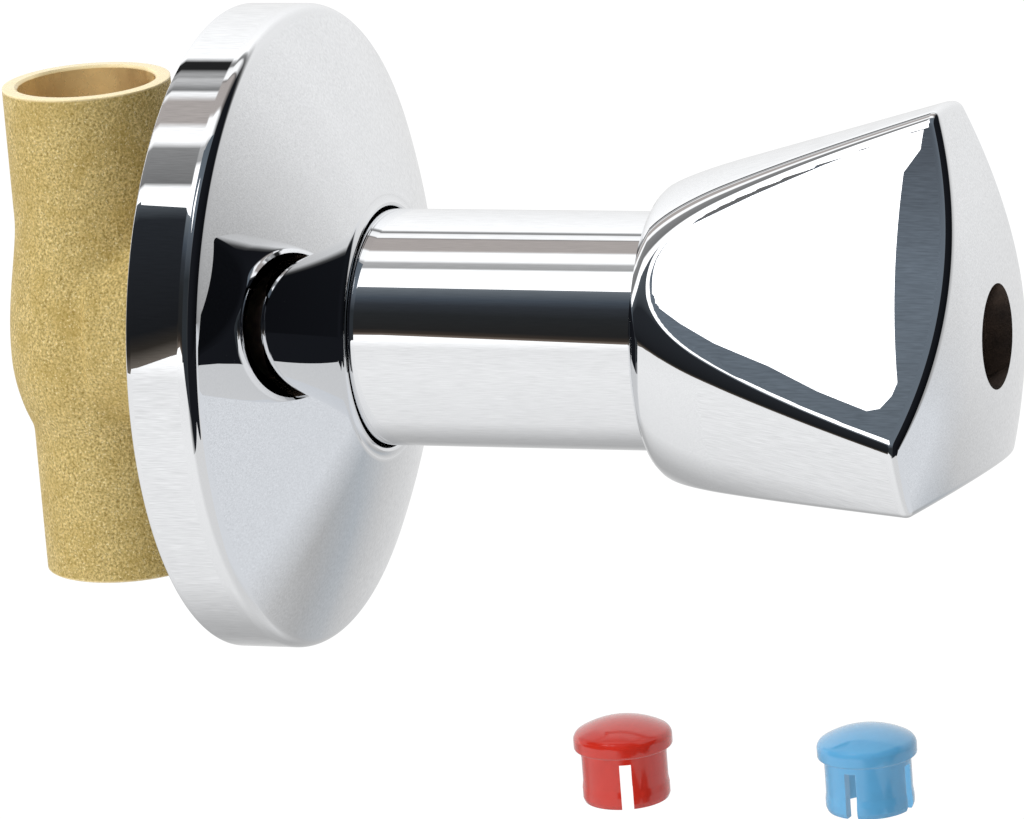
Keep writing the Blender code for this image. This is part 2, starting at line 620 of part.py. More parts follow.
def rosette_cone(radius, offset):
    """How far out the rosette's cone lies at a radius, moved inwards by an offset."""
    reach = ROSETTE_SHOULDER_ROUND - offset
    edge_radius = ROSETTE_RADIUS - ROSETTE_SHOULDER_ROUND + reach * sin(ROSETTE_CONE)
    edge_out = ROSETTE_SHOULDER_OUT + reach * cos(ROSETTE_CONE)
    return edge_out + (edge_radius - radius) * tan(ROSETTE_CONE)


def rosette_rim(offset):
    """The rounded shoulder and the rim band down to the back, moved inwards by an offset."""
    start = 90 - degrees(ROSETTE_CONE)
    points = arc(ROSETTE_RADIUS - ROSETTE_SHOULDER_ROUND, ROSETTE_SHOULDER_OUT,
                 ROSETTE_SHOULDER_ROUND - offset, start, 0, 4)
    points.append((ROSETTE_RADIUS - offset - ROSETTE_RIM_TAPER, ROSETTE_BACK_OUT))
    return points


def make_rosette(axis):
    """The hollow wall plate with its neck, and the rubber ring that grips the sleeve."""
    neck = RING_PLAY_RADIUS + ROSETTE_LIP
    foot = neck + ROSETTE_FLARE
    foot_out = rosette_cone(foot, 0)
    profile = []
    pieces = 3
    for i in range(pieces + 1):
        share = i / pieces
        rise = (ROSETTE_NECK_OUT - foot_out) * (1 - share) ** 2
        profile.append((neck + ROSETTE_FLARE * share, foot_out + rise))
    profile += rosette_rim(0)
    profile += reversed(rosette_rim(ROSETTE_WALL))
    neck_outer = ROSETTE_POCKET_RADIUS + ROSETTE_WALL
    neck_back = ROSETTE_NECK_OUT - ROSETTE_NECK_DEPTH
    pocket_top = neck_back + ROSETTE_RING_THICKNESS + 2 * GAP
    profile.append((neck_outer, rosette_cone(neck_outer, ROSETTE_WALL)))
    profile += [(neck_outer, neck_back), (ROSETTE_POCKET_RADIUS, neck_back)]
    profile += [(ROSETTE_POCKET_RADIUS, pocket_top), (RING_PLAY_RADIUS, pocket_top)]
    profile.append((RING_PLAY_RADIUS, ROSETTE_NECK_OUT))
    turned("rosette", profile, axis, "chrome", FINE_STEPS, closed=True)
    ring("rosette_ring", RING_PLAY_RADIUS, RING_PLAY_RADIUS + ROSETTE_RING_WIDTH, neck_back + GAP,
         neck_back + GAP + ROSETTE_RING_THICKNESS, axis, "black_rubber")


def dome_height(radius):
    """How far out the handle's domed end lies at a radius."""
    return HANDLE_TOP_OUT - HANDLE_DOME_RADIUS + sqrt(HANDLE_DOME_RADIUS ** 2 - radius ** 2)


def handle_side(offset):
    """The handle's turned side from its front edge down to its rim, moved in by an offset.

    It is a cone from a back radius at the rim, rounded in to the rim's own radius over the shoulder.
    """
    points = [(HANDLE_FRONT_RADIUS - offset, HANDLE_FRONT_OUT)]
    slope = (HANDLE_FRONT_RADIUS - HANDLE_BACK_RADIUS) / (HANDLE_FRONT_OUT - HANDLE_RIM_OUT)
    pieces = 6
    for i in range(pieces + 1):
        share = (1 - i / pieces) ** 2
        height = HANDLE_SHOULDER * share
        drop = (HANDLE_BACK_RADIUS - HANDLE_RIM_RADIUS) * (1 - sqrt(1 - (1 - share) ** 2))
        points.append((HANDLE_BACK_RADIUS + slope * height - drop - offset, HANDLE_RIM_OUT + height))
    return points


def facet_tool(name, side, inset, parent):
    """A tool that leaves one of the handle's hollow flats, moved in by an inset.

    Its outline is a plate whose inner edge bulges towards the axis, so the flat is hollow. The
    outline moves by the lean from the rim to the domed end.
    """
    half_width = HANDLE_FRONT_RADIUS
    hollow_radius = (half_width ** 2 + FLAT_HOLLOW ** 2) / (2 * FLAT_HOLLOW)
    nearest = FLAT_DISTANCE - FLAT_HOLLOW - inset
    sweep = asin(half_width / hollow_radius)
    outline = []
    for i in range(FLAT_STRIPS + 1):
        angle = -sweep + 2 * sweep * i / FLAT_STRIPS
        outline.append((hollow_radius * sin(angle), nearest + hollow_radius * (1 - cos(angle))))
    far = 2 * HANDLE_FRONT_RADIUS
    outline += [(half_width, far), (-half_width, far)]
    mesh = bpy.data.meshes.new(name)
    shape = bmesh.new()
    low = HANDLE_RIM_OUT - CUT_OVER
    face = shape.faces.new([shape.verts.new((x, y, low)) for x, y in outline])
    grown = bmesh.ops.extrude_face_region(shape, geom=[face])
    moved = [item for item in grown["geom"] if isinstance(item, bmesh.types.BMVert)]
    bmesh.ops.translate(shape, vec=(0, FLAT_LEAN, HANDLE_TOP_OUT + CUT_OVER - low), verts=moved)
    bmesh.ops.recalc_face_normals(shape, faces=shape.faces)
    turn = FLAT_DIRECTION + side * 2 * pi / HANDLE_SIDES
    bmesh.ops.rotate(shape, cent=(0, 0, 0), matrix=Matrix.Rotation(turn, 3, "Z"),
                     verts=shape.verts)
    shape.to_mesh(mesh)
    shape.free()
    return place(name, mesh, parent)


def handle_blank_profile():
    """The turned blank: the cap's seat, the domed end, the widening side and the rim."""
    profile = [(0, SCREW_SEAT_OUT), (CAP_BORE_RADIUS, SCREW_SEAT_OUT)]
    profile += [(CAP_BORE_RADIUS, CAP_SEAT_OUT), (CAP_SEAT_RADIUS, CAP_SEAT_OUT)]
    pieces = 5
    for i in range(pieces):
        radius = CAP_SEAT_RADIUS + (HANDLE_FRONT_RADIUS - CAP_SEAT_RADIUS) * i / pieces
        profile.append((radius, dome_height(radius)))
    profile += handle_side(0)
    profile.append((0, HANDLE_RIM_OUT))
    return profile


def handle_core_profile():
    """The hollow inside the blank, round the boss that holds the bush."""
    boss = hexagon_radius(INSERT_FLATS + 2 * GAP) + HANDLE_BOSS_WALL
    side = handle_side(HANDLE_WALL)
    mouth = SLEEVE_RADIUS + GAP
    profile = [(0, HANDLE_BOSS_BACK_OUT), (boss, HANDLE_BOSS_BACK_OUT)]
    pieces = 3
    reach = side[0][0] - HANDLE_WALL / 2
    for i in range(pieces + 1):
        radius = boss + (reach - boss) * i / pieces
        profile.append((radius, dome_height(radius) - HANDLE_WALL))
    back_radius, back_out = side[1]
    corner_out = HANDLE_FRONT_OUT - 2 * HANDLE_WALL
    share = (corner_out - back_out) / (HANDLE_FRONT_OUT - back_out)
    profile.append((back_radius + (side[0][0] - back_radius) * share, corner_out))
    profile += [point for point in side[1:] if point[0] > mouth]
    profile += [(mouth, HANDLE_RIM_OUT + HANDLE_WALL), (mouth, HANDLE_RIM_OUT - CUT_OVER)]
    profile.append((0, HANDLE_RIM_OUT - CUT_OVER))
    return profile


def make_handle(axis):
    """The hollow handle: a turned blank with three hollow flats, cored from its back."""
    handle = turned("handle", handle_blank_profile(), axis, "chrome", FINE_STEPS)
    core = turned("handle_core", handle_core_profile(), axis, steps=FINE_STEPS)
    for side in range(HANDLE_SIDES):
        cut(handle, facet_tool("flat_" + str(side + 1), side, 0.0, axis))
        cut(core, facet_tool("inner_flat_" + str(side + 1), side, FLAT_WALL, axis))
    bush_bore = bar("handle_bush_bore", 6, hexagon_radius(INSERT_FLATS + 2 * GAP),
                    HANDLE_BOSS_BACK_OUT - CUT_OVER, HANDLE_WEB_OUT, axis)
    screw_hole = bar("handle_screw_hole", SMALL_STEPS, SCREW_SHANK_RADIUS + GAP,
                     HANDLE_WEB_OUT - CUT_OVER, SCREW_SEAT_OUT + CUT_OVER, axis)
    cut(handle, core, bush_bore, screw_hole)


def make_handle_fixing(axis):
    """The splined bush in the handle, and the screw and spring washer that hold it."""
    bush = bar("handle_insert", 6, hexagon_radius(INSERT_FLATS), HANDLE_BOSS_BACK_OUT + GAP,
               HANDLE_WEB_OUT - GAP, axis, "white_plastic")
    teeth = splined_bar("insert_splines", STEM_RADIUS + GAP, STEM_RADIUS - SPLINE_DEPTH + GAP,
                        HANDLE_BOSS_BACK_OUT - CUT_OVER, HANDLE_WEB_OUT + CUT_OVER, axis)
    cut(bush, teeth)
    head = HANDLE_SCREW_HEAD_RADIUS
    head_top = SCREW_HEAD_OUT + HANDLE_SCREW_HEAD
    profile = [(0, head_top), (head * 0.6, head_top), (head * 0.9, head_top - HANDLE_SCREW_HEAD * 0.25)]
    profile += [(head, head_top - HANDLE_SCREW_HEAD * 0.6), (head, SCREW_HEAD_OUT)]
    profile += [(SCREW_SHANK_RADIUS, SCREW_HEAD_OUT), (SCREW_SHANK_RADIUS, SCREW_END_OUT)]
    profile.append((0, SCREW_END_OUT))
    screw = turned("handle_screw", profile, axis, "steel", SMALL_STEPS)
    for name, turn in (("screw_slot_1", 0.0), ("screw_slot_2", radians(90))):
        cut(screw, box(name, (head * 1.3, SCREW_SLOT, HANDLE_SCREW_HEAD), (0, 0, head_top), axis,
                       turn=turn))
    ring("screw_washer", SCREW_SHANK_RADIUS + GAP, head, SCREW_WASHER_OUT,
         SCREW_WASHER_OUT + SCREW_WASHER_THICKNESS, axis, "steel", SMALL_STEPS)


def cap_profile():
    """One index cap standing on its legs: domed head, hollow leg tube and snap bead."""
    head = CAP_HEAD_RADIUS
    leg = CAP_LEG_RADIUS
    top = CAP_LEG_LENGTH + CAP_HEAD_EDGE
    ball = (head ** 2 + CAP_DOME ** 2) / (2 * CAP_DOME)
    pieces = 4
    profile = []
    for i in range(pieces + 1):
        radius = head * i / pieces
        profile.append((radius, top + CAP_DOME - ball + sqrt(ball ** 2 - radius ** 2)))
    profile += [(head, CAP_LEG_LENGTH), (leg, CAP_LEG_LENGTH), (leg, CAP_BEAD_LENGTH * 1.6)]
    profile += [(leg + CAP_BEAD, CAP_BEAD_LENGTH), (leg + CAP_BEAD, CAP_BEAD_LENGTH * 0.4)]
    profile += [(leg - CAP_BEAD, 0), (leg - CAP_LEG_WALL, 0)]
    profile += [(leg - CAP_LEG_WALL, CAP_LEG_LENGTH), (0, CAP_LEG_LENGTH)]
    return profile


def make_caps():
    """The red and the blue index cap, each standing apart on its slotted legs."""
    for name, (out, turn, finish) in CAPS.items():
        cap = turned(name, cap_profile(), None, finish, CAP_STEPS)
        slot_height = CAP_LEG_LENGTH - CAP_SLOT_TOP_GAP
        for number, quarter in ((1, 0.0), (2, radians(90))):
            slot = box(name + "_slot_" + str(number), (4 * CAP_LEG_RADIUS, CAP_SLOT, 2 * slot_height),
                       (0, 0, 0), cap, turn=quarter)
            cut(cap, slot)
        cap.location = (0, -out, CAP_STAND_Z)
        cap.rotation_euler = (0, 0, turn)


def main():
    fixed = make_axis("spindle_line")
    turning = make_axis("handle_turn")
    make_valve_body(fixed)
    make_bonnet(fixed)
    make_spindle(turning, fixed)
    make_carrier(make_axis("valve_travel"))
    make_cover_sleeve(fixed)
    make_rosette(make_axis("rosette_slide"))
    make_handle(turning)
    make_handle_fixing(turning)
    make_caps()


main()
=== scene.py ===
import json
from math import cos, pi, radians, sin, sqrt, tan

import bmesh
import bpy
import numpy as np
from bpy.props import FloatProperty, FloatVectorProperty, PointerProperty
from bpy.types import Operator, Panel, PropertyGroup
from mathutils import Matrix, Vector


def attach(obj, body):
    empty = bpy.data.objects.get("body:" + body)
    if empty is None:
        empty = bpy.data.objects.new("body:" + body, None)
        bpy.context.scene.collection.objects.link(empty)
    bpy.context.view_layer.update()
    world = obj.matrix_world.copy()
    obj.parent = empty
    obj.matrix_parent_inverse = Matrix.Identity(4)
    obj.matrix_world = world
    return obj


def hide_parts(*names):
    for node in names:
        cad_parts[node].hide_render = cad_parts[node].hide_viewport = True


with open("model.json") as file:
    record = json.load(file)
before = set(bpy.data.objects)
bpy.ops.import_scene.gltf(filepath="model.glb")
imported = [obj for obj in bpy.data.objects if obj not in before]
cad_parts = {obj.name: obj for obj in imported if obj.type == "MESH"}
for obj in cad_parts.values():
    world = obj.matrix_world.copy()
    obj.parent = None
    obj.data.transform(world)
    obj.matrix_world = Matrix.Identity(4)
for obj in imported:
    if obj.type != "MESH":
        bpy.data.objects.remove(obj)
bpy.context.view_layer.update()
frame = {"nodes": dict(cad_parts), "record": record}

bl_info = {
    "name": "Concealed stop valve",
    "version": (1, 0, 0),
    "blender": (4, 5, 0),
    "location": "3D View > Sidebar > Stop valve",
    "description": "Builds the visible pieces of a concealed stop valve with its studio",
    "category": "Add Mesh",
}

MM = 0.001
FINE_STEPS = 288
ROUND_SEGMENTS = 6
HANDLE_SIDES = 3
THIRD = 2 * pi / HANDLE_SIDES
BLANK_RADIUS = 30 * MM


def length(name, text, default):
    """A size in metres that the user may change."""
    return FloatProperty(name=name, description=text, default=default, min=0.0,
                         unit="LENGTH", subtype="DISTANCE", precision=5)


def colour(name, text, default):
    """A colour that the user may change."""
    return FloatVectorProperty(name=name, description=text, default=default, size=3,
                               min=0.0, max=1.0, subtype="COLOR")


class BodySizes(PropertyGroup):
    """Sizes of the cast brass body."""
    half_length: length("Half length", "Half of the body's length along the pipe", 0.0272)
    barrel_radius: length("Barrel radius", "Outside radius of the sockets", 0.0092)
    socket_radius: length("Socket radius", "Radius of the bore that takes the tube", 0.00755)
    socket_depth: length("Socket depth", "How far the tube goes in", 0.011)
    waterway_radius: length("Waterway radius", "Radius of the bore behind the socket", 0.0055)
    bulge_rise: length("Bulge rise", "How far the barrel swells round the seat", 0.00175)
    bulge_top: length("Bulge top", "Where the swelling starts, above the middle", 0.0120)
    bulge_bottom: length("Bulge bottom", "Where the swelling ends, below the middle", 0.0106)
    bulge_peak: length("Bulge peak", "Where the swelling is widest, below the middle", 0.0028)
    boss_root_out: length("Boss root", "How far out the boss starts, inside the barrel", 0.0020)
    boss_flare_out: length("Boss flare", "How far out the boss starts to widen", 0.0030)
    boss_root_radius: length("Boss root radius", "Radius of the boss at the barrel", 0.0122)
    collar_radius: length("Collar radius", "Radius of the collar behind the sleeve", 0.0132)
    collar_back: length("Collar back", "How far out the collar starts", 0.0128)
    collar_front: length("Collar front", "How far out the collar ends", 0.0162)
    spigot_radius: length("Spigot radius", "Outside radius of the threaded spigot", 0.0114)
    spigot_front: length("Spigot front", "How far out the spigot ends", 0.0200)
    chamber_radius: length("Chamber radius", "Radius of the bore for the headwork", 0.0083)
    chamber_floor: length("Chamber floor", "How far out the bore for the headwork starts", 0.0038)
    waterway_end: length("Waterway end", "Where the waterways end, from the middle", 0.0129)
    mouth_chamfer: length("Mouth chamfer", "Width of the chamfer at the sockets' mouths", 0.0004)
    fillet: length("Casting fillet", "Rounding where the boss meets the barrel", 0.0018)


class TrimSizes(PropertyGroup):
    """Sizes of the cover sleeve and the rosette."""
    sleeve_radius: length("Sleeve radius", "Outside radius of the cover sleeve", 0.0128)
    sleeve_wall: length("Sleeve wall", "Thickness of the cover sleeve", 0.0011)
    sleeve_back: length("Sleeve back", "How far out the sleeve starts", 0.0175)
    sleeve_front: length("Sleeve front", "How far out the sleeve ends", 0.0702)
    rosette_radius: length("Rosette radius", "Radius of the rosette's rim", 0.0350)
    rosette_back: length("Rosette back", "How far out the rim starts", 0.0171)
    rosette_shoulder: length("Rosette shoulder", "How far out the rim ends", 0.0235)
    rosette_round: length("Rosette rounding", "Rounding between rim and face", 0.0016)
    rosette_neck: length("Rosette neck", "How far out the neck reaches", 0.0332)
    rosette_flare: length("Rosette flare", "Width of the flare round the neck", 0.0009)
    rosette_lip: length("Rosette lip", "Width of the lip at the neck's front", 0.0004)
    rosette_wall: length("Rosette wall", "Thickness of the rosette", 0.0011)
    neck_depth: length("Neck depth", "How deep the neck grips the sleeve", 0.0055)
    ring_height: length("Ring height", "Height of the ring in the neck", 0.0022)
    ring_width: length("Ring width", "Width of the ring in the neck", 0.0012)
    play: length("Play", "Clearance between pieces that slide", 0.0003)


class HandleSizes(PropertyGroup):
    """Sizes of the three-sided handle."""
    rim: length("Rim", "How far out the handle starts", 0.0659)
    rim_radius: length("Rim radius", "Radius of the handle's rim", 0.0155)
    shoulder: length("Shoulder", "Length of the rounding behind the cone", 0.0083)
    back_radius: length("Back radius", "Radius of the cone where it would meet the rim", 0.0164)
    front_radius: length("Front radius", "Radius of the cone where it meets the dome", 0.0249)
    front: length("Front", "How far out the cone meets the dome", 0.0971)
    dome_radius: length("Dome radius", "Radius of the domed end", 0.0686)
    flat_back: length("Flat at the rim", "A flat's middle from the axis at the rim", 0.01579)
    flat_front: length("Flat at the front", "A flat's middle from the axis at the front", 0.01477)
    flat_hollow: length("Flat hollow", "How far a flat rises over the front radius", 0.00247)
    edge: length("Edge rounding", "Rounding of the polished edges", 0.0009)
    seat_radius: length("Cap seat radius", "Radius of the index cap's seat", 0.0056)
    seat_depth: length("Cap seat depth", "Depth of the index cap's seat", 0.0032)
    bore_radius: length("Cap bore radius", "Radius of the bore for the cap's legs", 0.0049)
    bore_depth: length("Cap bore depth", "Depth of the bore behind the seat", 0.0084)
    screw_hole: length("Screw hole", "Radius of the hole for the screw", 0.0019)
    web: length("Web", "Thickness of the wall that the screw holds", 0.0012)
    bush_radius: length("Bush radius", "Radius of the room for the bush", 0.0089)
    hollow_radius: length("Hollow radius", "Radius of the hollow behind the cone", 0.0132)
    hollow_front: length("Hollow front", "How far out the hollow reaches", 0.0945)
    hollow_back: length("Hollow back", "Where the hollow has narrowed, from the rim", 0.0080)
    mouth_wall: length("Mouth wall", "Thickness of the wall round the mouth", 0.0008)
    mouth_depth: length("Mouth depth", "Depth of the recess in the mouth", 0.0060)


class CapSizes(PropertyGroup):
    """Sizes of the index caps."""
    head_radius: length("Head radius", "Radius of the cap's head", 0.0054)
    head_edge: length("Head edge", "Height of the head's side", 0.0016)
    dome: length("Dome", "Rise of the domed top", 0.0016)
    leg_radius: length("Leg radius", "Outside radius of the legs", 0.0047)
    leg_wall: length("Leg wall", "Thickness of the legs", 0.0011)
    leg_length: length("Leg length", "Length of the legs", 0.0059)
    bead: length("Snap bead", "How far the snap bead stands out", 0.0001)
    bead_height: length("Bead height", "Height of the snap bead", 0.0013)
    slot: length("Slot", "Width of the slots", 0.0013)
    slot_gap: length("Slot gap", "Leg left above the slots", 0.0008)
    stand: length("Stand", "How far below the spindle the caps stand", 0.0527)


class ValveFinishes(PropertyGroup):
    """Colours of the valve's finishes, with painted glints and a painted highlight for the brass."""
    chrome: colour("Chrome", "Mirror chrome plating", (0.86, 0.87, 0.885))
    cast_light: colour("Cast brass, light", "Raised grain of the casting", (0.98, 0.78, 0.34))
    cast_dark: colour("Cast brass, dark", "Hollows of the casting", (0.36, 0.24, 0.05))
    cast_stain: colour("Cast brass, stained", "Blotches on the casting", (0.56, 0.39, 0.10))
    # Painted glints: bright specks in the cast brass's colour that stand for a painted highlight.
    cast_painted_glint: colour("Cast brass, glints", "Bright grains of the casting", (1.0, 0.88, 0.52))
    cut_brass: colour("Cut brass", "Machined bores of the casting", (0.96, 0.72, 0.34))
    # Colour of the blotches that darken the cut brass towards the front.
    cut_dark_patches: colour("Cut brass, scorched", "Brown marks in the bores", (0.20, 0.085, 0.025))
    # The sockets' machined ends, painted brighter than the cut brass: their own colour with a painted
    # highlight.
    cut_end_highlight: colour("Cut brass, ends", "Machined ends of the sockets", (1.0, 0.84, 0.50))
    turned_brass: colour("Turned brass", "Headwork turned from bar", (0.80, 0.60, 0.26))
    bare_dark: colour("Bare bore, dark", "Unplated metal inside the handle", (0.05, 0.036, 0.03))
    bare_light: colour("Bare bore, light", "Worn metal inside the handle", (0.11, 0.075, 0.055))
    steel: colour("Steel", "Screw, washer and ring of steel", (0.60, 0.60, 0.61))
    rubber: colour("Rubber", "Seals and rings", (0.018, 0.018, 0.019))
    bloom: colour("Rubber bloom", "Grey bloom on the rubber", (0.035, 0.035, 0.036))
    fibre: colour("Fibre", "Gasket of vulcanised fibre", (0.33, 0.10, 0.05))
    fibre_thread: colour("Fibre threads", "Matted threads in the fibre", (0.22, 0.06, 0.03))
    white: colour("White plastic", "Moulded bush and slip washer", (0.78, 0.77, 0.73))
    red: colour("Red plastic", "Cap for hot water", (0.53, 0.024, 0.012))
    blue: colour("Blue plastic", "Cap for cold water", (0.10, 0.34, 0.58))


class StudioSettings(PropertyGroup):
    """Camera and light of the studio."""
    azimuth: FloatProperty(name="Azimuth", description="Direction of the camera round the valve",
                           default=radians(-68.9336), subtype="ANGLE", unit="ROTATION")
    elevation: FloatProperty(name="Elevation", description="Height of the camera",
                             default=radians(15.0583), subtype="ANGLE", unit="ROTATION")
    roll: FloatProperty(name="Roll", description="Tilt of the picture",
                        default=radians(-4.5567), subtype="ANGLE", unit="ROTATION")
    distance: length("Distance", "How far the camera stands from its target", 0.78656)
    focal: FloatProperty(name="Focal length", description="Focal length in millimetres",
                         default=257.42, min=1.0)
    surround: FloatProperty(name="Surround", description="Brightness of the white surround",
                            default=1.0, min=0.0)
    softbox: FloatProperty(name="Softbox", description="Brightness of the softbox",
                           default=2.2, min=0.0)
    key: FloatProperty(name="Key lamp", description="Strength of the soft lamp", default=2.4,
                       min=0.0)


CAMERA_TARGET = Vector((-0.003128, -0.047680, -0.008149))
FLOOR_HEIGHT = -0.0527
FLOOR_SIZE = 3.0
PAPER_GLOW = 1.05

# The direction of a flat from straight up, and the slope and bend of the rosette's face
FLAT_DIRECTION = radians(54.57)
ROSETTE_CONE = radians(26.6)
ROSETTE_DOME = 4.9

# Each cap's distance in front of the pipe, its turn, its node and its slot
CAP_PLACES = {
    "red_cap": (0.0563, radians(20.5), "index_cap_red", "red_plastic"),
    "blue_cap": (0.0841, radians(82.4), "index_cap_blue", "blue_plastic"),
}

# The lamp, the softbox and the card over the handle
KEY_DIRECTION = Vector((-0.62, 0.42, 0.66))
CARD_DISTANCE = 0.300
CARD_LEAN = radians(32)
SOFTBOX_CORNERS = [(22, 24), (18, 27), (7, 38), (-2, 49), (-12, 60), (-20, 68), (-26, 73),
                   (-26, 66), (-24, 58), (-24, -17), (-23, -22), (-21, -27), (-19, -28),
                   (-12, -21), (-5, -12), (3, -4), (8, 3), (12, 10), (17, 18)]
GREY_CARD_CORNERS = [(24, 28), (18, 27.3), (7, 38.3), (-2, 49.3), (-12, 60.3), (-20, 68.3),
                     (-26, 73.3), (-32, 84), (-14, 72), (2, 54), (12, 40), (22, 31)]
GREY_CARD_GLOW = 0.16

# The studio's walls: degrees round the spindle from straight up, each with its shade
WARM = (0.46, 0.42, 0.40)
BLACK = (0.010, 0.011, 0.014)
LOW_WALL = [(-180, 0.84), (-167, 0.68), (-150, 0.50), (-136, 0.45), (-123, 0.56), (-108, 0.75),
            (-90, 0.9), (-60, 1.05)]
HIGH_WALL = [(35, 1.5), (86, 1.3), (95, 0.90), (119, 0.93), (146, 0.90), (172, 0.86), (180, 0.84)]
SLEEVE_WALL = [(-33, 1.2), (-32, 0.3), (-29, 0.25), (-28, 1.1), (-22.5, 1.15), (-22, 0.12),
               (-20, WARM), (-4.5, WARM), (-3.5, 1.2), (8.0, 1.2), (9, 0.5), (16, 0.4), (17.5, 1.5)]
RIM_WALL = [(-34, 1.2), (-33.5, 0.02), (-27, 0.02), (-26, 0.9), (-25, 0.2), (-22.5, 0.6),
            (-20, 0.5), (-17, 0.15), (-15.5, 1.1), (-13.5, 1.0), (-12, WARM), (-1, WARM),
            (1, 1.2), (8.0, 1.2), (9, 0.28), (24, 0.2), (26, 1.5)]
FRONT_WALL = [(-180, 0.72), (-150, 0.70), (-143, 0.72), (-138, 0.60), (-130, 0.46),
              (-124, (0.46, 0.49, 0.52)), (-117, 0.62), (-108, 0.76), (-96, 0.86), (-70, 0.92),
              (-42, 0.90), (-30, 0.1), (-24, BLACK), (100, BLACK), (160, 0.72), (180, 0.72)]

# How far back a direction points where the rim's view takes over from the sleeve's
RIM_VIEW = (0.374, 0.382)

# The edges of the dark flag in hundreds of degrees, by how far back a direction points
FLAG_LOW_EDGE = [(0.250, 0.88), (0.333, 0.882), (0.364, 0.828), (0.380, 0.835), (0.390, 0.857),
                 (0.395, 0.909), (0.43, 0.93), (0.45, 0.93)]
FLAG_HIGH_EDGE = [(0.300, 0.12), (0.312, 0.378), (0.333, 0.374), (0.366, 0.36), (0.380, 0.345),
                  (0.394, 0.324), (0.400, 0.31)]

# The flag's shades from its upper to its lower edge, and the wall's from the spindle outwards
FLAG_SHADES = [(0.0, (0.30, 0.33, 0.36)), (0.15, (0.14, 0.16, 0.18)), (0.30, (0.065, 0.08, 0.10)),
               (0.42, (0.035, 0.04, 0.048)), (0.60, (0.022, 0.024, 0.026)),
               (0.88, (0.020, 0.020, 0.020)), (0.95, (0.045, 0.035, 0.028)),
               (1.0, (0.22, 0.18, 0.15))]
SLATE_SHADES = [(0.0, (0.125, 0.150, 0.175)), (0.5, (0.15, 0.18, 0.215)),
                (0.75, (0.09, 0.105, 0.125)), (1.0, (0.03, 0.035, 0.04))]
RIM_FLAG_SHADES = [(0.0, (0.10, 0.115, 0.13)), (0.12, (0.022, 0.025, 0.03)),
                   (0.80, (0.012, 0.013, 0.015)), (0.90, (0.03, 0.026, 0.022)),
                   (1.0, (0.16, 0.14, 0.12))]
AXIS_SHADES = [(0.0, 0.35), (0.1, 0.5), (0.32, 0.72), (0.6, 0.9), (1.0, 1.0)]


# Meshes

def finished(name, shape, sharp=35):
    """Turns a bmesh into an object at the origin, with smooth faces and sharp edges marked."""
    mesh = bpy.data.meshes.new(name)
    shape.to_mesh(mesh)
    shape.free()
    mesh.shade_smooth()
    mesh.set_sharp_from_angle(angle=radians(sharp))
    piece = bpy.data.objects.new(name, mesh)
    bpy.context.scene.collection.objects.link(piece)
    return piece


def outline(points):
    """An edge loop in the plane of radius and height, with its corners rounded.

    A point is (radius, height, rounding).
    """
    shape = bmesh.new()
    corners = [shape.verts.new((radius, 0, height)) for radius, height, _ in points]
    face = shape.faces.new(corners)
    sizes = sorted({point[2] for point in points if point[2] > 0}, reverse=True)
    for size in sizes:
        chosen = [corner for corner, point in zip(corners, points) if point[2] == size]
        bmesh.ops.bevel(shape, geom=chosen, offset=size, offset_type="OFFSET",
                        segments=ROUND_SEGMENTS, profile=0.5, affect="VERTICES",
                        clamp_overlap=False, material=-1)
    bmesh.ops.delete(shape, geom=shape.faces[:], context="FACES_ONLY")
    on_axis = [edge for edge in shape.edges if all(vert.co.x < 1e-7 for vert in edge.verts)]
    bmesh.ops.delete(shape, geom=on_axis, context="EDGES")
    return shape


def straight(radius, first, last):
    """Points along a straight side, so that the roundings at its ends don't bend its shading."""
    margin = 0.6 * MM if last > first else -0.6 * MM
    low = first + margin
    high = last - margin
    return [(radius, low + (high - low) * i / 4, 0) for i in range(5)]


def turned(points, steps=FINE_STEPS):
    """A closed shape spun round the Z axis from an outline."""
    shape = outline(points)
    bmesh.ops.spin(shape, geom=shape.verts[:] + shape.edges[:], cent=(0, 0, 0), axis=(0, 0, 1),
                   angle=2 * pi, steps=steps, use_merge=True)
    bmesh.ops.remove_doubles(shape, verts=shape.verts, dist=1e-7)
    bmesh.ops.dissolve_degenerate(shape, dist=1e-8, edges=shape.edges)
    bmesh.ops.recalc_face_normals(shape, faces=shape.faces)
    return shape


def lay_out(shape):
    """Turns a shape that was built upwards so that its height points out of the wall."""
    bmesh.ops.rotate(shape, cent=(0, 0, 0), matrix=Matrix.Rotation(radians(90), 3, "X"),
                     verts=shape.verts)
    return shape


def combine(piece, tool_shape, operation):
    """Joins a shape to a piece or cuts it out, and applies the result."""
    tool = finished("tool", tool_shape)
    tool.data.materials.clear()
    change = piece.modifiers.new("Cut", "BOOLEAN")
    change.operation = operation
    change.solver = "EXACT"
    change.object = tool
    apply_modifiers(piece)
    bpy.data.objects.remove(tool)


def apply_modifiers(piece):
    """Makes a piece's modifiers part of its mesh."""
    bpy.context.view_layer.update()
    graph = bpy.context.evaluated_depsgraph_get()
    mesh = bpy.data.meshes.new_from_object(piece.evaluated_get(graph))
    old = piece.data
    piece.modifiers.clear()
    piece.data = mesh
    mesh.name = piece.name
    bpy.data.meshes.remove(old)


def dress(piece, material, body, slot, *nodes):
    """Gives a piece its material and its body, and hides the CAD nodes that it stands for. The slot
    is not used.
    """
    piece.data.materials.clear()
    piece.data.materials.append(material)
    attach(piece, body)
    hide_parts(*nodes)


# Node graphs

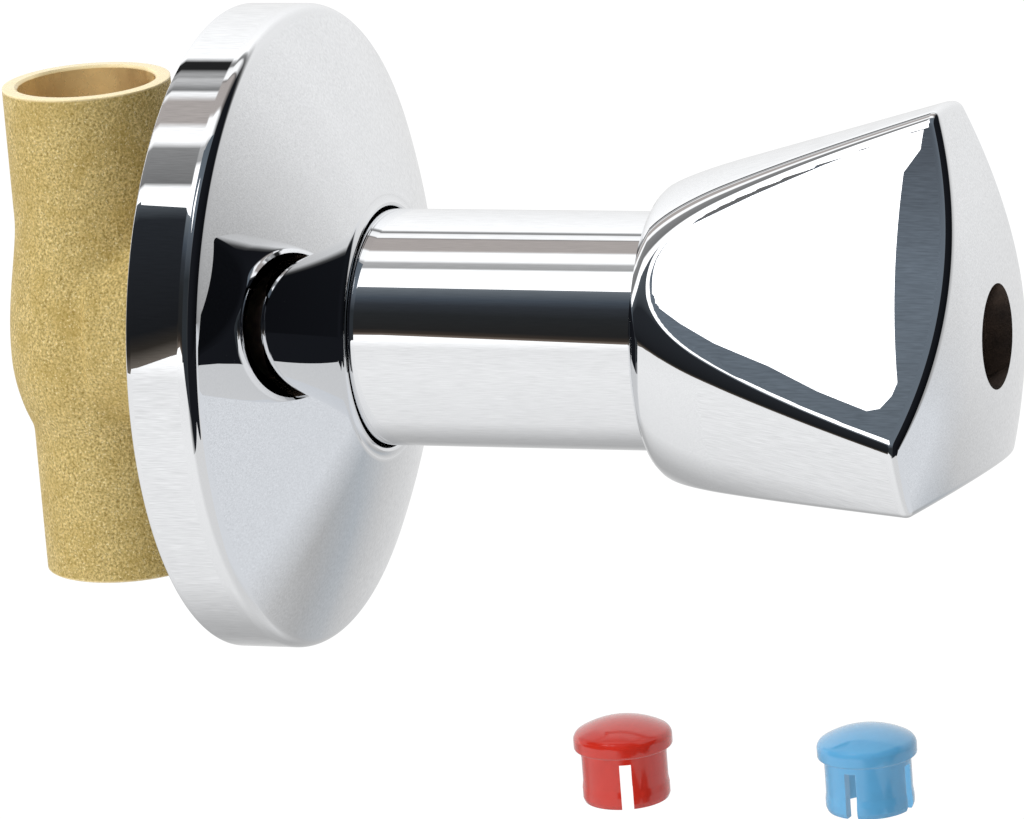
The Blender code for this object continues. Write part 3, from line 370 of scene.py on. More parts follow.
class Graph:
    """Short words for building a node tree."""

    def __init__(self, tree):
        self.tree = tree
        self.links = tree.links

    def node(self, kind, **settings):
        """A new node with its settings."""
        made = self.tree.nodes.new(kind)
        for key, value in settings.items():
            setattr(made, key, value)
        return made

    def feed(self, socket, value):
        """Links a socket to another or sets its number."""
        if isinstance(value, bpy.types.NodeSocket):
            self.links.new(value, socket)
        elif value is not None:
            socket.default_value = value

    def math(self, operation, first, second=None):
        """A sum on one or two numbers."""
        made = self.node("ShaderNodeMath", operation=operation)
        for socket, value in zip(made.inputs, (first, second)):
            self.feed(socket, value)
        return made.outputs[0]

    def spread(self, value, low, high, to_low=0.0, to_high=1.0):
        """A value moved from one range to another and held within it."""
        made = self.node("ShaderNodeMapRange", clamp=True)
        for socket, item in zip(made.inputs, (value, low, high, to_low, to_high)):
            self.feed(socket, item)
        return made.outputs[0]

    def mix(self, factor, first, second, blend="MIX"):
        """Two colours mixed by a factor."""
        made = self.node("ShaderNodeMix", data_type="RGBA", blend_type=blend)
        self.feed(made.inputs[0], factor)
        self.feed(made.inputs[6], full(first))
        self.feed(made.inputs[7], full(second))
        return made.outputs[2]

    def ramp(self, value, stops):
        """A colour that runs through stops of place and shade."""
        made = self.node("ShaderNodeValToRGB")
        elements = made.color_ramp.elements
        while len(elements) < len(stops):
            elements.new(1.0)
        for element, (place, shade) in zip(elements, stops):
            element.position = place
        for element, (place, shade) in zip(elements, stops):
            element.color = full(shade)
        self.feed(made.inputs[0], value)
        return made.outputs[0]

    def noise(self, vector, scale, detail=2.0, roughness=0.5, distortion=0.0):
        """Cloudy noise at a scale in clouds for each metre."""
        made = self.node("ShaderNodeTexNoise")
        values = {"Vector": vector, "Scale": scale, "Detail": detail, "Roughness": roughness,
                  "Distortion": distortion}
        for name, value in values.items():
            self.feed(made.inputs[name], value)
        return made.outputs["Fac"]

    def place(self):
        """The place on the piece."""
        return self.node("ShaderNodeTexCoord").outputs["Object"]

    def group(self, tree, **values):
        """A node group with its inputs set by name."""
        made = self.node("ShaderNodeGroup", node_tree=tree)
        for key, value in values.items():
            self.feed(made.inputs[key.replace("_", " ").capitalize()], value)
        return made


def full(shade):
    """A colour with its fourth number, a plain grey from one number, or a socket as it is."""
    if isinstance(shade, bpy.types.NodeSocket):
        return shade
    if isinstance(shade, (int, float)):
        return (shade, shade, shade, 1.0)
    return (*tuple(shade)[:3], 1.0)


def darker(shade, share):
    """A colour with each of its numbers lowered to a share."""
    return tuple(number * share for number in shade)


def new_group(name, inputs, outputs):
    """A shader node group with named float inputs and typed outputs."""
    tree = bpy.data.node_groups.new(name, "ShaderNodeTree")
    for label, default in inputs:
        socket = tree.interface.new_socket(name=label, in_out="INPUT", socket_type="NodeSocketFloat")
        socket.default_value = default
    for label, kind in outputs:
        tree.interface.new_socket(name=label, in_out="OUTPUT", socket_type=kind)
    graph = Graph(tree)
    return graph, graph.node("NodeGroupInput"), graph.node("NodeGroupOutput")


def grain_group():
    """Sand grain: a mask of raised grains at a size given in grains for each metre."""
    found = bpy.data.node_groups.get("Sand grain")
    if found:
        return found
    graph, given, made = new_group("Sand grain", [("Grains", 3000.0), ("Blotch", 300.0)],
                                   [("Grain", "NodeSocketFloat"), ("Blotches", "NodeSocketFloat")])
    place = graph.place()
    fine = graph.noise(place, given.outputs["Grains"], 3.0, 0.6)
    coarse = graph.noise(place, given.outputs["Blotch"], 4.0)
    graph.feed(made.inputs["Grain"], graph.spread(fine, 0.3, 0.7))
    graph.feed(made.inputs["Blotches"], graph.spread(coarse, 0.3, 0.7))
    return graph.tree


def handling_group():
    """Faint marks of handling: a mask of soft smears."""
    found = bpy.data.node_groups.get("Handling marks")
    if found:
        return found
    graph, given, made = new_group("Handling marks", [("Scale", 60.0), ("Cover", 0.4)],
                                   [("Marks", "NodeSocketFloat")])
    smears = graph.noise(graph.place(), given.outputs["Scale"], 5.0, 0.5, 0.6)
    low = graph.math("SUBTRACT", 1.0, given.outputs["Cover"])
    graph.feed(made.inputs["Marks"], graph.spread(smears, low, 1.0))
    return graph.tree


def tool_marks_group():
    """Fine rings that a lathe tool leaves round the spindle's axis."""
    found = bpy.data.node_groups.get("Tool marks")
    if found:
        return found
    graph, given, made = new_group("Tool marks", [("Rings", 4000.0)], [("Rings", "NodeSocketFloat")])
    parts = graph.node("ShaderNodeSeparateXYZ")
    graph.feed(parts.inputs[0], graph.place())
    turns = graph.math("MULTIPLY", parts.outputs["Y"], given.outputs["Rings"])
    graph.feed(made.inputs["Rings"], graph.math("SINE", turns))
    return graph.tree


def new_material(name):
    """An empty material with a Principled shader and its graph."""
    material = bpy.data.materials.new(name)
    material.use_nodes = True
    graph = Graph(material.node_tree)
    shader = material.node_tree.nodes["Principled BSDF"]
    return material, graph, shader


def bump(graph, shader, height, strength, distance):
    """Raises the surface by a height, for the shader's normal."""
    made = graph.node("ShaderNodeBump")
    made.inputs["Strength"].default_value = strength
    made.inputs["Distance"].default_value = distance
    graph.feed(made.inputs["Height"], height)
    graph.feed(shader.inputs["Normal"], made.outputs["Normal"])


def chrome_material(finishes):
    """Mirror chrome with faint handling marks in its gloss."""
    material, graph, shader = new_material("mirror_chrome")
    marks = graph.group(handling_group(), scale=70.0, cover=0.45).outputs["Marks"]
    shader.inputs["Metallic"].default_value = 1.0
    graph.feed(shader.inputs["Base Color"],
               graph.mix(marks, tuple(finishes.chrome), darker(finishes.chrome, 0.985)))
    graph.feed(shader.inputs["Roughness"], graph.spread(marks, 0.0, 1.0, 0.004, 0.012))
    return material


def cast_brass_material(finishes):
    """Sand-cast brass with a granular skin and painted glints, and cut brass on the machined ends and
    bores, whose ends carry a painted highlight.
    """
    material, graph, shader = new_material("cast_brass_skin")
    body = bpy.context.scene.valve_body_sizes
    place = graph.place()
    parts = graph.node("ShaderNodeSeparateXYZ")
    graph.feed(parts.inputs[0], place)
    across, out, up = parts.outputs
    rise = graph.math("ABSOLUTE", up)
    pipe_radius = graph.math("SQRT", graph.math("ADD", graph.math("MULTIPLY", across, across),
                                                graph.math("MULTIPLY", out, out)))
    ends = graph.spread(rise, body.half_length - 0.35 * MM, body.half_length - 0.1 * MM)
    near_bore = graph.math("LESS_THAN", pipe_radius, body.socket_radius + 0.25 * MM)
    beyond = graph.math("GREATER_THAN", rise, body.bulge_top - 1 * MM)
    bore = graph.math("MULTIPLY", near_bore, beyond)
    front = graph.math("LESS_THAN", out, -(body.collar_front - 0.2 * MM))
    cut = graph.math("MAXIMUM", graph.math("MAXIMUM", ends, bore), front)
    grain = graph.group(grain_group(), grains=3500.0, blotch=260.0)
    fine = grain.outputs["Grain"]
    blotches = grain.outputs["Blotches"]
    skin = graph.mix(fine, tuple(finishes.cast_dark), tuple(finishes.cast_light))
    stain = graph.mix(graph.spread(blotches, 0.3, 1.0, 0.0, 0.6), skin,
                      tuple(finishes.cast_stain))
    # Painted glints: bright specks mixed into the skin's colour as a painted highlight.
    painted_glints = graph.noise(place, 4600.0, 1.0)
    stain = graph.mix(graph.spread(painted_glints, 0.62, 0.72, 0.0, 0.8), stain,
                      tuple(finishes.cast_painted_glint))
    rings = graph.noise(place, 900.0, 2.0)
    cut_shade = graph.mix(rings, tuple(finishes.cut_brass), darker(finishes.cut_brass, 0.8))
    # The cut brass darkens towards the front, in blotches, but not on the sockets' ends.
    dark_patches = graph.math("MULTIPLY", graph.spread(out, 3.0 * MM, -6.0 * MM),
                        graph.spread(graph.noise(place, 240.0, 2.0), 0.35, 0.6))
    dark_patches = graph.math("MULTIPLY", dark_patches, graph.math("SUBTRACT", 1.0, ends))
    cut_shade = graph.mix(graph.math("MULTIPLY", dark_patches, 0.9), cut_shade,
                          tuple(finishes.cut_dark_patches))
    # The machined ends get their own colour with a painted highlight, brighter than the bores.
    cut_shade = graph.mix(ends, cut_shade, tuple(finishes.cut_end_highlight))
    graph.feed(shader.inputs["Base Color"], graph.mix(cut, stain, cut_shade))
    rough_skin = graph.spread(fine, 0.0, 1.0, 0.62, 0.42)
    skin_rough = graph.math("MULTIPLY", rough_skin, graph.math("SUBTRACT", 1.0, cut))
    cut_rough = graph.math("MULTIPLY", graph.spread(rings, 0.3, 0.7, 0.2, 0.34), cut)
    graph.feed(shader.inputs["Roughness"], graph.math("ADD", skin_rough, cut_rough))
    graph.feed(shader.inputs["Metallic"], graph.spread(cut, 0.0, 1.0, 0.45, 0.35))
    height = graph.math("MULTIPLY", fine, graph.math("SUBTRACT", 1.0, cut))
    bump(graph, shader, height, 0.55, 0.00016)
    return material


def turned_brass_material(finishes):
    """Bar brass with fine rings from the lathe."""
    material, graph, shader = new_material("turned_brass")
    rings = graph.group(tool_marks_group(), rings=16000.0).outputs["Rings"]
    marks = graph.group(handling_group(), scale=180.0, cover=0.5).outputs["Marks"]
    shader.inputs["Metallic"].default_value = 1.0
    graph.feed(shader.inputs["Base Color"],
               graph.mix(marks, tuple(finishes.turned_brass), darker(finishes.turned_brass, 0.72)))
    graph.feed(shader.inputs["Roughness"], graph.spread(marks, 0.0, 1.0, 0.2, 0.36))
    bump(graph, shader, rings, 0.2, 0.00002)
    return material


def steel_material(finishes):
    """Plain drawn steel."""
    material, graph, shader = new_material("drawn_steel")
    marks = graph.group(handling_group(), scale=260.0, cover=0.5).outputs["Marks"]
    shader.inputs["Metallic"].default_value = 1.0
    graph.feed(shader.inputs["Base Color"],
               graph.mix(marks, tuple(finishes.steel), darker(finishes.steel, 0.8)))
    graph.feed(shader.inputs["Roughness"], graph.spread(marks, 0.0, 1.0, 0.24, 0.4))
    bump(graph, shader, graph.noise(graph.place(), 5200.0, 2.0), 0.1, 0.00002)
    return material


def bare_zinc_material(finishes):
    """The unplated inside of the handle's bore, dull and brown."""
    material, graph, shader = new_material("bare_bore")
    grain = graph.group(grain_group(), grains=2600.0, blotch=380.0)
    graph.feed(shader.inputs["Base Color"],
               graph.mix(grain.outputs["Blotches"], tuple(finishes.bare_dark),
                         tuple(finishes.bare_light)))
    graph.feed(shader.inputs["Roughness"], graph.spread(grain.outputs["Grain"], 0, 1, 0.5, 0.7))
    shader.inputs["Metallic"].default_value = 0.4
    bump(graph, shader, grain.outputs["Grain"], 0.2, 0.00004)
    return material


def rubber_material(finishes):
    """Moulded black rubber with a faint bloom."""
    material, graph, shader = new_material("moulded_rubber")
    grain = graph.group(grain_group(), grains=5200.0, blotch=420.0)
    graph.feed(shader.inputs["Base Color"],
               graph.mix(grain.outputs["Blotches"], tuple(finishes.rubber), tuple(finishes.bloom)))
    graph.feed(shader.inputs["Roughness"], graph.spread(grain.outputs["Grain"], 0, 1, 0.5, 0.7))
    bump(graph, shader, grain.outputs["Grain"], 0.15, 0.00003)
    return material


def fibre_material(finishes):
    """Vulcanised fibre with short matted threads."""
    material, graph, shader = new_material("vulcanised_fibre")
    grain = graph.group(grain_group(), grains=2400.0, blotch=700.0)
    graph.feed(shader.inputs["Base Color"],
               graph.mix(grain.outputs["Grain"], tuple(finishes.fibre),
                         tuple(finishes.fibre_thread)))
    graph.feed(shader.inputs["Roughness"], graph.spread(grain.outputs["Grain"], 0, 1, 0.7, 0.85))
    bump(graph, shader, grain.outputs["Grain"], 0.3, 0.00005)
    return material


def plastic_material(name, shade, gloss):
    """Injection-moulded plastic with a slightly uneven gloss."""
    material, graph, shader = new_material(name)
    marks = graph.group(handling_group(), scale=320.0, cover=0.5).outputs["Marks"]
    graph.feed(shader.inputs["Base Color"], graph.mix(marks, tuple(shade), darker(shade, 0.9)))
    graph.feed(shader.inputs["Roughness"], graph.spread(marks, 0.0, 1.0, gloss, gloss + 0.1))
    shader.inputs["IOR"].default_value = 1.5
    shader.inputs["Coat Weight"].default_value = 0.6
    shader.inputs["Coat Roughness"].default_value = 0.06
    shader.inputs["Subsurface Weight"].default_value = 0.15
    shader.inputs["Subsurface Scale"].default_value = 0.0012
    shader.inputs["Subsurface Radius"].default_value = (1.0, 0.6, 0.5)
    bump(graph, shader, graph.noise(graph.place(), 700.0, 2.0), 0.08, 0.00004)
    return material


# Pieces

def bulge_outline(sizes):
    """The barrel's outside from its lower to its upper end, longer than the finished casting."""
    over = sizes.half_length + 1.5 * MM
    points = [(0, -over, 0), (sizes.barrel_radius, -over, 0)]
    pieces = 14
    for i in range(pieces + 1):
        share = 1 - i / pieces
        rise = cos(share * pi / 2) ** 0.8 if share < 1 else 0.0
        height = -sizes.bulge_peak + (sizes.bulge_peak - sizes.bulge_bottom) * share
        points.append((sizes.barrel_radius + sizes.bulge_rise * rise, height, 0))
    for i in range(1, pieces + 1):
        share = 1 - i / pieces
        rise = sin(share * pi / 2) ** 1.3
        height = sizes.bulge_top - (sizes.bulge_top + sizes.bulge_peak) * share
        points.append((sizes.barrel_radius + sizes.bulge_rise * rise, height, 0))
    points += [(sizes.barrel_radius, over, 0), (0, over, 0)]
    return points


def boss_outline(sizes):
    """The boss's outside: a flare from the barrel to the collar."""
    points = [(0, sizes.boss_root_out, 0), (sizes.boss_root_radius, sizes.boss_root_out, 0)]
    widening = sizes.collar_radius - sizes.boss_root_radius
    reach = sizes.collar_back - sizes.boss_flare_out
    pieces = 12
    for i in range(pieces + 1):
        share = i / pieces
        radius = sizes.boss_root_radius + widening * share ** 1.15
        points.append((radius, sizes.boss_flare_out + reach * share, 0))
    points += [(sizes.collar_radius, sizes.collar_front, 0.3 * MM), (0, sizes.collar_front, 0)]
    return points


class VALVE_OT_body(Operator):
    """Builds the cast brass body with its machined ends and bores"""
    bl_idname = "valve.body"
    bl_label = "Cast body"

    def execute(self, context):
        sizes = context.scene.valve_body_sizes
        piece = finished("cast_body", turned(bulge_outline(sizes), 128))
        combine(piece, lay_out(turned(boss_outline(sizes), 128)), "UNION")
        remesh = piece.modifiers.new("Skin", "REMESH")
        remesh.mode = "VOXEL"
        remesh.voxel_size = 0.36 * MM
        apply_modifiers(piece)
        self.soften(piece, sizes)
        self.machine(piece, sizes)
        piece.data.shade_smooth()
        piece.data.set_sharp_from_angle(angle=radians(40))
        dress(piece, cast_brass_material(context.scene.valve_finishes), "valve", "cast_brass",
              "valve_body")
        return {"FINISHED"}

    def soften(self, piece, sizes):
        """Rounds the corner between boss and barrel, as sand leaves it."""
        shape = bmesh.new()
        shape.from_mesh(piece.data)
        for attempt in range(4):
            near = []
            for vert in shape.verts:
                pipe = sqrt(vert.co.x ** 2 + vert.co.y ** 2) - sizes.barrel_radius
                spindle = sqrt(vert.co.x ** 2 + vert.co.z ** 2) - sizes.boss_root_radius
                if abs(pipe) < 2 * sizes.fillet and abs(spindle) < sizes.fillet:
                    near.append(vert)
            bmesh.ops.smooth_vert(shape, verts=near, factor=0.5, use_axis_x=True, use_axis_y=True,
                                  use_axis_z=True)
        for attempt in range(2):
            bmesh.ops.smooth_vert(shape, verts=shape.verts, factor=0.5, use_axis_x=True,
                                  use_axis_y=True, use_axis_z=True)
        shape.to_mesh(piece.data)
        shape.free()

    def machine(self, piece, sizes):
        """Faces the ends, turns the spigot and bores the sockets and the chamber."""
        half = sizes.half_length
        wide = 3 * sizes.barrel_radius
        end = sizes.barrel_radius + 0.15 * MM
        step = half - 4 * MM
        dresser = [(0, -half, 0), (end, -half, 0.5 * MM), (end, -step, 0), (wide, -step, 0),
                   (wide, step, 0), (end, step, 0), (end, half, 0.35 * MM), (0, half, 0)]
        combine(piece, turned(dresser, 160), "INTERSECT")
        spigot = [(0, sizes.collar_front - 2 * MM, 0),
                  (sizes.spigot_radius, sizes.collar_front - 2 * MM, 0),
                  (sizes.spigot_radius, sizes.spigot_front, 0.3 * MM), (0, sizes.spigot_front, 0)]
        combine(piece, lay_out(turned(spigot, 128)), "UNION")
        floor = sizes.chamber_floor
        chamber = [(0, floor, 0), (sizes.chamber_radius, floor, 0),
                   (sizes.chamber_radius, sizes.spigot_front + MM, 0),
                   (0, sizes.spigot_front + MM, 0)]
        combine(piece, lay_out(turned(chamber, 96)), "DIFFERENCE")
        stop = half - sizes.socket_depth
        mouth = sizes.socket_radius + sizes.mouth_chamfer
        chamfer_out = half + 0.1 * MM
        for side in (1, -1):
            bore = [(0, sizes.waterway_end, 0), (sizes.waterway_radius, sizes.waterway_end, 0),
                    (sizes.waterway_radius, stop, 0), (sizes.socket_radius, stop, 0),
                    (sizes.socket_radius, chamfer_out - sizes.mouth_chamfer, 0),
                    (mouth, chamfer_out, 0), (mouth, half + MM, 0), (0, half + MM, 0)]
            if side < 0:
                bore = [(radius, -height, rounding) for radius, height, rounding in bore]
            combine(piece, turned(bore, 128), "DIFFERENCE")


class VALVE_OT_sleeve(Operator):
    """Builds the chrome cover sleeve"""
    bl_idname = "valve.sleeve"
    bl_label = "Cover sleeve"

    def execute(self, context):
        sizes = context.scene.valve_trim_sizes
        outer = sizes.sleeve_radius
        inner = outer - sizes.sleeve_wall
        points = [(inner, sizes.sleeve_back, 0.1 * MM), (outer, sizes.sleeve_back, 0.1 * MM)]
        points += straight(outer, sizes.sleeve_back, sizes.sleeve_front)
        points += [(outer, sizes.sleeve_front, 0.3 * MM), (inner, sizes.sleeve_front, 0.1 * MM)]
        piece = finished("sleeve", lay_out(turned(points)))
        dress(piece, bpy.data.materials["mirror_chrome"], "valve", "chrome", "cover_sleeve")
        return {"FINISHED"}


class VALVE_OT_rosette(Operator):
    """Builds the hollow chrome rosette with its domed face and neck"""
    bl_idname = "valve.rosette"
    bl_label = "Rosette"

    def face(self, sizes, radius, offset):
        """How far out the rosette's domed face lies at a radius, moved inwards by an offset."""
        reach = sizes.rosette_round - offset
        edge_radius = sizes.rosette_radius - sizes.rosette_round + reach * sin(ROSETTE_CONE)
        edge_out = sizes.rosette_shoulder + reach * cos(ROSETTE_CONE)
        inward = edge_radius - radius
        return edge_out + inward * tan(ROSETTE_CONE) - ROSETTE_DOME * inward ** 2

    def rim(self, sizes, offset, pieces):
        """The rounded shoulder and the rim down to the back, moved inwards by an offset."""
        points = []
        radius = sizes.rosette_round - offset
        for i in range(pieces + 1):
            angle = (pi / 2 - ROSETTE_CONE) * (1 - i / pieces)
            points.append((sizes.rosette_radius - sizes.rosette_round + radius * cos(angle),
                           sizes.rosette_shoulder + radius * sin(angle), 0))
        points += straight(sizes.rosette_radius - offset, sizes.rosette_shoulder,
                           sizes.rosette_back)
        points.append((sizes.rosette_radius - offset, sizes.rosette_back, 0.15 * MM))
        return points

    def execute(self, context):
        sizes = context.scene.valve_trim_sizes
        bore = sizes.sleeve_radius + sizes.play
        neck = bore + sizes.rosette_lip
        foot = neck + sizes.rosette_flare
        foot_out = self.face(sizes, foot, 0)
        points = [(bore, sizes.rosette_neck, 0.15 * MM)]
        pieces = 20
        for i in range(pieces + 1):
            share = i / pieces
            rise = (sizes.rosette_neck - foot_out) * (1 - share) ** 2
            points.append((neck + sizes.rosette_flare * share ** 1.05, foot_out + rise, 0))
        edge = sizes.rosette_radius - sizes.rosette_round * (1 - sin(ROSETTE_CONE))
        rings = 60
        for i in range(1, rings):
            radius = foot + (edge - foot) * i / rings
            points.append((radius, self.face(sizes, radius, 0), 0))
        points += self.rim(sizes, 0, 12)
        points += reversed(self.rim(sizes, sizes.rosette_wall, 8))
        pocket = bore + sizes.ring_width + sizes.play
        outer = pocket + sizes.rosette_wall
        back = sizes.rosette_neck - sizes.neck_depth
        top = back + sizes.ring_height + 2 * sizes.play
        for i in range(1, 8):
            radius = edge + (outer - edge) * i / 8
            points.append((radius, self.face(sizes, radius, sizes.rosette_wall), 0))
        points += [(outer, self.face(sizes, outer, sizes.rosette_wall), 0), (outer, back, 0),
                   (pocket, back, 0), (pocket, top, 0), (bore, top, 0)]
        piece = finished("wall_plate", lay_out(turned(points, 320)))
        dress(piece, bpy.data.materials["mirror_chrome"], "rosette_set", "chrome", "rosette")
        return {"FINISHED"}


class VALVE_OT_handle(Operator):
    """Builds the three-sided chrome handle with its polished edges"""
    bl_idname = "valve.handle"
    bl_label = "Handle"

    columns = 360
    side_rows = 90
    dome_rows = 60
    crowding = 1.35
    bunching = 0.85

    def blank(self, sizes):
        """A spun blank: rim, side, dome, cap seat and bore, and the hollow behind."""
        top = self.dome_out(sizes, 0.0)
        points = []
        for i in range(self.side_rows + 1):
            height = sizes.rim + (sizes.front - sizes.rim) * i / self.side_rows
            points.append((BLANK_RADIUS, height, 0))
        for i in range(1, self.dome_rows + 1):
            radius = BLANK_RADIUS + (sizes.seat_radius - BLANK_RADIUS) * i / self.dome_rows
            points.append((radius, top, 0))
        seat = top - sizes.seat_depth
        floor = seat - sizes.bore_depth
        points += [(sizes.seat_radius, seat, 0), (sizes.bore_radius, seat, 0),
                   (sizes.bore_radius, floor, 0), (sizes.screw_hole, floor, 0),
                   (sizes.screw_hole, floor - sizes.web, 0),
                   (sizes.bush_radius, floor - sizes.web, 0),
                   (sizes.bush_radius, sizes.hollow_front, 0),
                   (sizes.hollow_radius, sizes.hollow_front, 0),
                   (sizes.hollow_radius, sizes.rim + sizes.hollow_back, 0),
                   (sizes.rim_radius - sizes.mouth_wall, sizes.rim + sizes.mouth_depth, 0),
                   (sizes.rim_radius - sizes.mouth_wall, sizes.rim, 0.2 * MM)]
        return points

    def dome_out(self, sizes, radius):
        """How far out the domed end lies at a radius."""
        ball = sizes.dome_radius
        rise = ball - sqrt(ball ** 2 - sizes.front_radius ** 2)
        return sizes.front + rise - ball + np.sqrt(ball ** 2 - radius ** 2)

    def cone_radius(self, sizes, out):
        """The radius of the turned side, with its rounding into the rim."""
        slope = (sizes.front_radius - sizes.back_radius) / (sizes.front - sizes.rim)
        share = np.clip((out - sizes.rim) / sizes.shoulder, 0, 1)
        drop = (sizes.back_radius - sizes.rim_radius) * (1 - np.sqrt(1 - (1 - share) ** 2))
        return sizes.back_radius + slope * (out - sizes.rim) - drop

    def flat_middle(self, sizes, out):
        """The distance of a flat's middle line from the axis at a place along it."""
        share = (out - sizes.rim) / (sizes.front - sizes.rim)
        return sizes.flat_back + (sizes.flat_front - sizes.flat_back) * share

    def flat_radius(self, sizes, out, bend):
        """The distance of a flat from the axis in a direction away from its middle line."""
        middle = self.flat_middle(sizes, out)
        hollow = sizes.flat_hollow / sizes.front_radius ** 2
        root = np.cos(bend) ** 2 - 4 * hollow * middle * np.sin(bend) ** 2
        return 2 * middle / (np.cos(bend) + np.sqrt(np.maximum(root, 1e-9)))

    def flat_width(self, sizes, out):
        """The angle from a flat's middle line to its edge at a place along it."""
        middle = self.flat_middle(sizes, out)
        hollow = sizes.flat_hollow / sizes.front_radius ** 2
        cone = self.cone_radius(sizes, out)
        height = (np.sqrt(1 + 4 * hollow * (middle + hollow * cone ** 2)) - 1) / (2 * hollow)
        return np.arccos(np.clip(height / cone, -1, 1))

    def depth(self, sizes, place):
        """How far a place lies outside the rounded shape, negative inside."""
        radius = np.hypot(place[:, 0], place[:, 1])
        out = place[:, 2]
        turn = np.arctan2(place[:, 0], place[:, 1])
        bend = np.mod(turn - FLAT_DIRECTION + THIRD / 2, THIRD) - THIRD / 2
        slope = (sizes.front_radius - sizes.back_radius) / (sizes.front - sizes.rim)
        from_side = (radius - self.cone_radius(sizes, out)) / sqrt(1 + slope ** 2)
        aside = radius * np.sin(bend)
        hollow = sizes.flat_hollow / sizes.front_radius ** 2
        from_flat = radius * np.cos(bend) - self.flat_middle(sizes, out) - hollow * aside ** 2
        from_flat /= np.sqrt(1 + (2 * hollow * aside) ** 2)
        tilt = radius / sizes.dome_radius
        dome = self.dome_out(sizes, np.minimum(radius, BLANK_RADIUS))
        from_dome = (out - dome) / np.sqrt(1 + tilt ** 2)
        edge = sizes.edge
        walls = np.stack([from_side, from_flat, from_dome])
        inside = np.minimum(-edge, walls.max(axis=0))
        return inside + np.sqrt((np.maximum(walls + edge, 0) ** 2).sum(axis=0))

    def settle(self, sizes, place, fixed_out):
        """Moves places onto the rounded shape along its slope, or straight to the axis."""
        step = 1e-6
        for attempt in range(14):
            here = self.depth(sizes, place)
            slope = np.zeros_like(place)
            for axis in range(3):
                shifted = place.copy()
                shifted[:, axis] += step
                slope[:, axis] = (self.depth(sizes, shifted) - here) / step
            slope[fixed_out, 2] = 0
            size = np.maximum((slope ** 2).sum(axis=1), 1e-6)
            place -= slope * (here / size)[:, None]
        return place

    def bunched(self, count):
        """Shares from 0 to 1 that lie closer together at the ends."""
        share = np.linspace(0, 1, count + 1)
        return share - self.bunching * np.sin(2 * pi * share) / (2 * pi)

    def execute(self, context):
        sizes = context.scene.valve_handle_sizes
        shape = turned(self.blank(sizes), self.columns)
        mesh = bpy.data.meshes.new("blank")
        shape.to_mesh(mesh)
        shape.free()
        count = len(mesh.vertices)
        flat = np.empty(count * 3)
        mesh.vertices.foreach_get("co", flat)
        place = flat.reshape(-1, 3)
        radius = np.hypot(place[:, 0], place[:, 1])
        top = self.dome_out(sizes, 0.0)
        side = (radius > BLANK_RADIUS - 0.1 * MM) & (place[:, 2] <= sizes.front + 1e-6)
        dome = (place[:, 2] > top - 1e-6) & (radius > sizes.seat_radius - 1e-6)
        turn = np.arctan2(place[:, 0], place[:, 1])
        column = np.rint(np.mod(turn, 2 * pi) / (2 * pi) * self.columns).astype(int) % self.columns
        row = np.rint((place[:, 2] - sizes.rim) / (sizes.front - sizes.rim) * self.side_rows)
        along = 1 - (1 - np.linspace(0, 1, self.side_rows + 1)) ** self.crowding
        per_third = self.columns // HANDLE_SIDES
        half = per_third // 2
        spot = column % per_third
        number = column // per_third
        flat_share = self.bunched(half)
        reach = np.where(side, along[np.clip(row, 0, self.side_rows).astype(int)], 1.0)
        out = sizes.rim + (sizes.front - sizes.rim) * reach
        border_out = np.full(count, sizes.front)
        angle = turn.copy()
        for attempt in range(30):
            width = np.maximum(self.flat_width(sizes, out), radians(4))
            in_flat = spot <= half
            share_a = flat_share[np.clip(spot, 0, half)]
            share_b = flat_share[np.clip(spot - half, 0, half)]
            local = np.where(in_flat, -width + 2 * width * share_a,
                             width + (THIRD - 2 * width) * share_b)
            angle = FLAT_DIRECTION + number * THIRD + local
            bend = np.mod(local + THIRD / 2, THIRD) - THIRD / 2
            for inner in range(3):
                cone = self.cone_radius(sizes, border_out)
                edge = np.minimum(cone, self.flat_radius(sizes, border_out, bend))
                border_out = 0.5 * border_out + 0.5 * self.dome_out(sizes, edge)
            out = np.where(side, sizes.rim + (border_out - sizes.rim) * reach, border_out)
        edge = np.minimum(self.cone_radius(sizes, out), self.flat_radius(sizes, out, bend))
        inward = np.clip((BLANK_RADIUS - radius) / (BLANK_RADIUS - sizes.seat_radius), 0, 1)
        inward **= self.crowding
        dome_radius = edge + (sizes.seat_radius - edge) * inward
        new_radius = np.where(side, edge, dome_radius)
        new_out = np.where(side, out, self.dome_out(sizes, dome_radius))
        moved = side | dome
        place[moved, 0] = (new_radius * np.sin(angle))[moved]
        place[moved, 1] = (new_radius * np.cos(angle))[moved]
        place[moved, 2] = new_out[moved]
        chosen = np.flatnonzero(moved)
        held = place[chosen, 2] < sizes.rim + 0.5 * MM
        place[chosen] = self.settle(sizes, place[chosen], held)
        mesh.vertices.foreach_set("co", place.reshape(-1))
        shape = bmesh.new()
        shape.from_mesh(mesh)
        bpy.data.meshes.remove(mesh)
        bmesh.ops.dissolve_degenerate(shape, dist=1e-7, edges=shape.edges)
        bmesh.ops.recalc_face_normals(shape, faces=shape.faces)
        lay_out(shape)
        bmesh.ops.scale(shape, vec=(-1, 1, 1), verts=shape.verts)
        bmesh.ops.reverse_faces(shape, faces=shape.faces)
        piece = finished("three_sided_handle", shape, 50)
        dress(piece, bpy.data.materials["mirror_chrome"], "spindle_set", "chrome", "handle")
        piece.data.materials.append(bare_zinc_material(context.scene.valve_finishes))
        self.leave_bare(piece, sizes, top)
        return {"FINISHED"}

    def leave_bare(self, piece, sizes, top):
        """Gives the bore and the hollow the unplated metal."""
        for face in piece.data.polygons:
            radius = sqrt(face.center.x ** 2 + face.center.z ** 2)
            out = -face.center.y
            bored = radius < sizes.seat_radius + 0.05 * MM and out < top - 0.2 * MM
            within = radius < sizes.rim_radius - sizes.mouth_wall + 0.1 * MM
            behind = sizes.rim + 0.3 * MM < out < sizes.hollow_front + 0.1 * MM
            if bored or within and behind:
                face.material_index = 1


